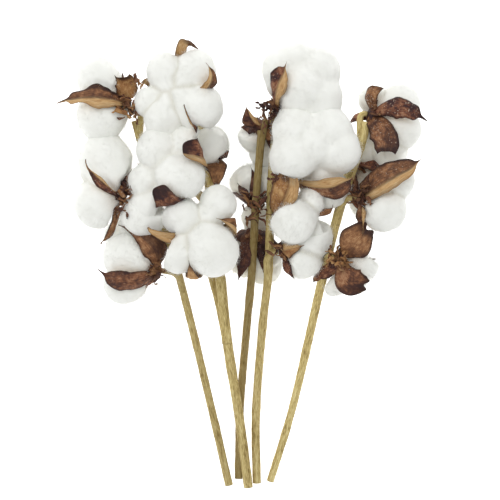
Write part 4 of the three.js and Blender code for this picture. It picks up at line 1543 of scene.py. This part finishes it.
def evened(points, quads):
    """The same closed surface as a mesh of even faces: its points, their outward directions and
    its quads. A voxel remesh does it, and a few rounds of smoothing take its steps away."""
    mesh = new_mesh("rough lint", points, quads)
    rough = bpy.data.objects.new("rough_lint", mesh)
    bpy.context.scene.collection.objects.link(rough)
    remesh = rough.modifiers.new("even", "REMESH")
    remesh.mode = "VOXEL"
    remesh.voxel_size = VOXEL
    soften = rough.modifiers.new("soften", "SMOOTH")
    soften.factor = SOFTENING
    soften.iterations = SOFT_ROUNDS
    view = bpy.context.evaluated_depsgraph_get()
    even = bpy.data.meshes.new_from_object(rough.evaluated_get(view))
    flat, normal = np.zeros((2, len(even.vertices) * 3), np.float32)
    even.vertices.foreach_get("co", flat)
    even.vertex_normals.foreach_get("vector", normal)
    corners = np.zeros(len(even.loops), np.int32)
    even.loops.foreach_get("vertex_index", corners)
    bpy.data.objects.remove(rough)
    bpy.data.meshes.remove(mesh)
    bpy.data.meshes.remove(even)
    flat, normal = flat.reshape(-1, 3).astype(float), normal.reshape(-1, 3).astype(float)
    return flat, normal, corners.reshape(-1, 4)


# %% Fibres on the lint
FIBRE_RADIUS = 0.06
FIBRE_COUNT = 3800
FIBRE_SHARES = (0.0, 0.45, 1.0)
FIBRE_LONG, FIBRE_LIFT = (2.0, 4.0), (0.7, 2.0)
FIBRE_SINK = 0.25
FIBRE_STRAY, FIBRE_BEND = 0.45, 0.22
SWIRL_SIZE = 11.0
SPINDLE = ((0, 2, 1, 1), (0, 3, 2, 2), (0, 1, 3, 3), (4, 1, 2, 2), (4, 2, 3, 3), (4, 3, 1, 1))


def fibres(points, normals, quads, seed):
    """Loose fibres: thin three-sided spindles, widest in the middle. Each leaves the lint at a random
    point, runs along the surface in a direction that swirls slowly from place to place, and lifts
    off towards its end. The square of a random number makes a few of them long wisps."""
    rng = np.random.default_rng(seed)
    corner = points[quads]
    area = np.linalg.norm(np.cross(corner[:, 2] - corner[:, 0], corner[:, 3] - corner[:, 1]), axis=1)
    chosen = rng.choice(len(quads), FIBRE_COUNT, p=area / area.sum())
    root, normal = corner[chosen].mean(axis=1), unit(normals[quads[chosen]].mean(axis=1))
    swirl = np.stack([lattice_noise(root, SWIRL_SIZE, seed + n) for n in (1, 2, 3)], axis=1)
    way = swirl + rng.normal(0, FIBRE_STRAY, swirl.shape)
    way = unit(way - normal * (way * normal).sum(axis=1, keepdims=True))
    draw = rng.random((FIBRE_COUNT, 1)) ** 2
    length, lift = FIBRE_LONG[0] + FIBRE_LONG[1] * draw, FIBRE_LIFT[0] + FIBRE_LIFT[1] * draw
    side = np.cross(normal, way)
    bend = rng.normal(0, FIBRE_BEND, (FIBRE_COUNT, 1))
    path = []
    for share in FIBRE_SHARES:
        step = way * share * length + side * bend * length * share**2
        rise = normal * (lift * share - FIBRE_SINK * (1 - share))
        path.append(root + step + rise)
    start, middle, tip = path
    ring = middle[:, None] + spokes(round_angles(3), side[:, None], normal[:, None]) * FIBRE_RADIUS
    stations = np.concatenate([start[:, None], ring, tip[:, None]], axis=1)
    faces = np.array(SPINDLE)[None] + np.arange(FIBRE_COUNT)[:, None, None] * stations.shape[1]
    spindles, faces = stations.reshape(-1, 3), faces.reshape(-1, 4)
    return spindles, faces if signed_volume(spindles, faces) > 0 else faces[:, ::-1]


# %% Make the lint
LINT_LUMPS = ((7.0, 0.5, 0), (3.1, 0.14, 40))
LINT_GROUND = 0.02
HEART_HEIGHT, HEART_EDGE = 3, (7, 19)

for number, (name, boll) in enumerate(BOLLS.items(), start=1):
    place, parts = places[name], Parts()
    points, normals, quads = evened(*lint_surface(name))
    lumps = layered_noise(points, LINT_LUMPS, number)
    points = above_ground(points + normals * lumps[:, None], LINT_GROUND)
    # Masks for painted shade on the lint: "heart" greys and warms it near the cup, and "crease" greys it
    # where two locks meet, less where the boll's "furrows" are shallow.
    to_cup = np.linalg.norm(points - place["base"] - place["axis"] * HEART_HEIGHT, axis=1)
    crease = furrow(unit(points - place["middle"]), *place["spheres"])
    crease = crease * boll.get("furrows", 1.0) ** 2
    parts.add(points, quads, heart=1 - smooth_step(to_cup, *HEART_EDGE), crease=crease)
    threads, faces = fibres(points, normals, quads, number)
    parts.add(above_ground(threads, LINT_GROUND), faces)
    make_object(f"lint_{name}", parts, LINT, "lint", f"cotton_{name}")

# %% [markdown]
# ## Floor, light and camera
#
# The bunch lies on a plain white floor. One broad lamp above, a little towards the tips,
# gives the locks their soft shading, and an even pale sky fills the shadows. The camera
# looks straight down on the bunch from two metres, which is how far it has to be for the
# bolls near it not to look larger than those behind.

# %% Floor
FLOOR_HALF = 3.0
FLOOR_CORNERS = ((-1, -1), (1, -1), (1, 1), (-1, 1))
FLOOR_GLOW = 1.0
floor_mesh = bpy.data.meshes.new("floor")
corners = [(x * FLOOR_HALF, y * FLOOR_HALF, 0) for x, y in FLOOR_CORNERS]
floor_mesh.from_pydata(corners, [], [(0, 1, 2, 3)])
floor = bpy.data.objects.new("floor", floor_mesh)
bpy.context.scene.collection.objects.link(floor)
floor_paint = new_material(
    "floor",
    Base_Color=screen_colour(230, 230, 230),
    Roughness=0.9,
    Emission_Color=(1, 1, 1, 1),
    Emission_Strength=FLOOR_GLOW,
)[0]
floor_mesh.materials.append(floor_paint)
print("floor:", 2 * FLOOR_HALF, "m wide")

# %% Light
KEY_PLACE = (-0.3, 0.6, 1.5)
KEY_TARGET = (0, 0.03, 0.05)
KEY_SIZE, KEY_WATTS = 1.1, 9.6
SKY_STRENGTH = 0.64
key_light = bpy.data.lights.new("key", "AREA")
key_light.size = KEY_SIZE
key_light.energy = KEY_WATTS
lamp = bpy.data.objects.new("key", key_light)
bpy.context.scene.collection.objects.link(lamp)
lamp.location = KEY_PLACE
lamp.rotation_euler = (Vector(KEY_TARGET) - Vector(KEY_PLACE)).to_track_quat("-Z", "Y").to_euler()
world = bpy.data.worlds.new("pale sky")
world.use_nodes = True
sky = world.node_tree.nodes["Background"]
sky.inputs["Color"].default_value = (1, 1, 1, 1)
sky.inputs["Strength"].default_value = SKY_STRENGTH
bpy.context.scene.world = world
bpy.context.scene.view_settings.view_transform = "Standard"
print("key lamp:", KEY_WATTS, "W, sky", SKY_STRENGTH)

# %% Camera
CAMERA_PLACE = (5.95 * MM, 10.5 * MM, 2.0)
CLIP = (0.05, 20)
IMAGE_SIDE = 500
MM_PER_PIXEL = 0.7
REFERENCE_HEIGHT = 45 * MM
SENSOR = 36.0

camera_data = bpy.data.cameras.new("camera")
camera_data.sensor_width = SENSOR
camera_data.lens = SENSOR * (CAMERA_PLACE[2] - REFERENCE_HEIGHT) / (IMAGE_SIDE * MM_PER_PIXEL * MM)
camera_data.clip_start, camera_data.clip_end = CLIP
camera = bpy.data.objects.new("camera", camera_data)
camera.location = CAMERA_PLACE
bpy.context.scene.collection.objects.link(camera)
bpy.context.scene.camera = camera
print("lens", round(camera_data.lens, 1), "mm")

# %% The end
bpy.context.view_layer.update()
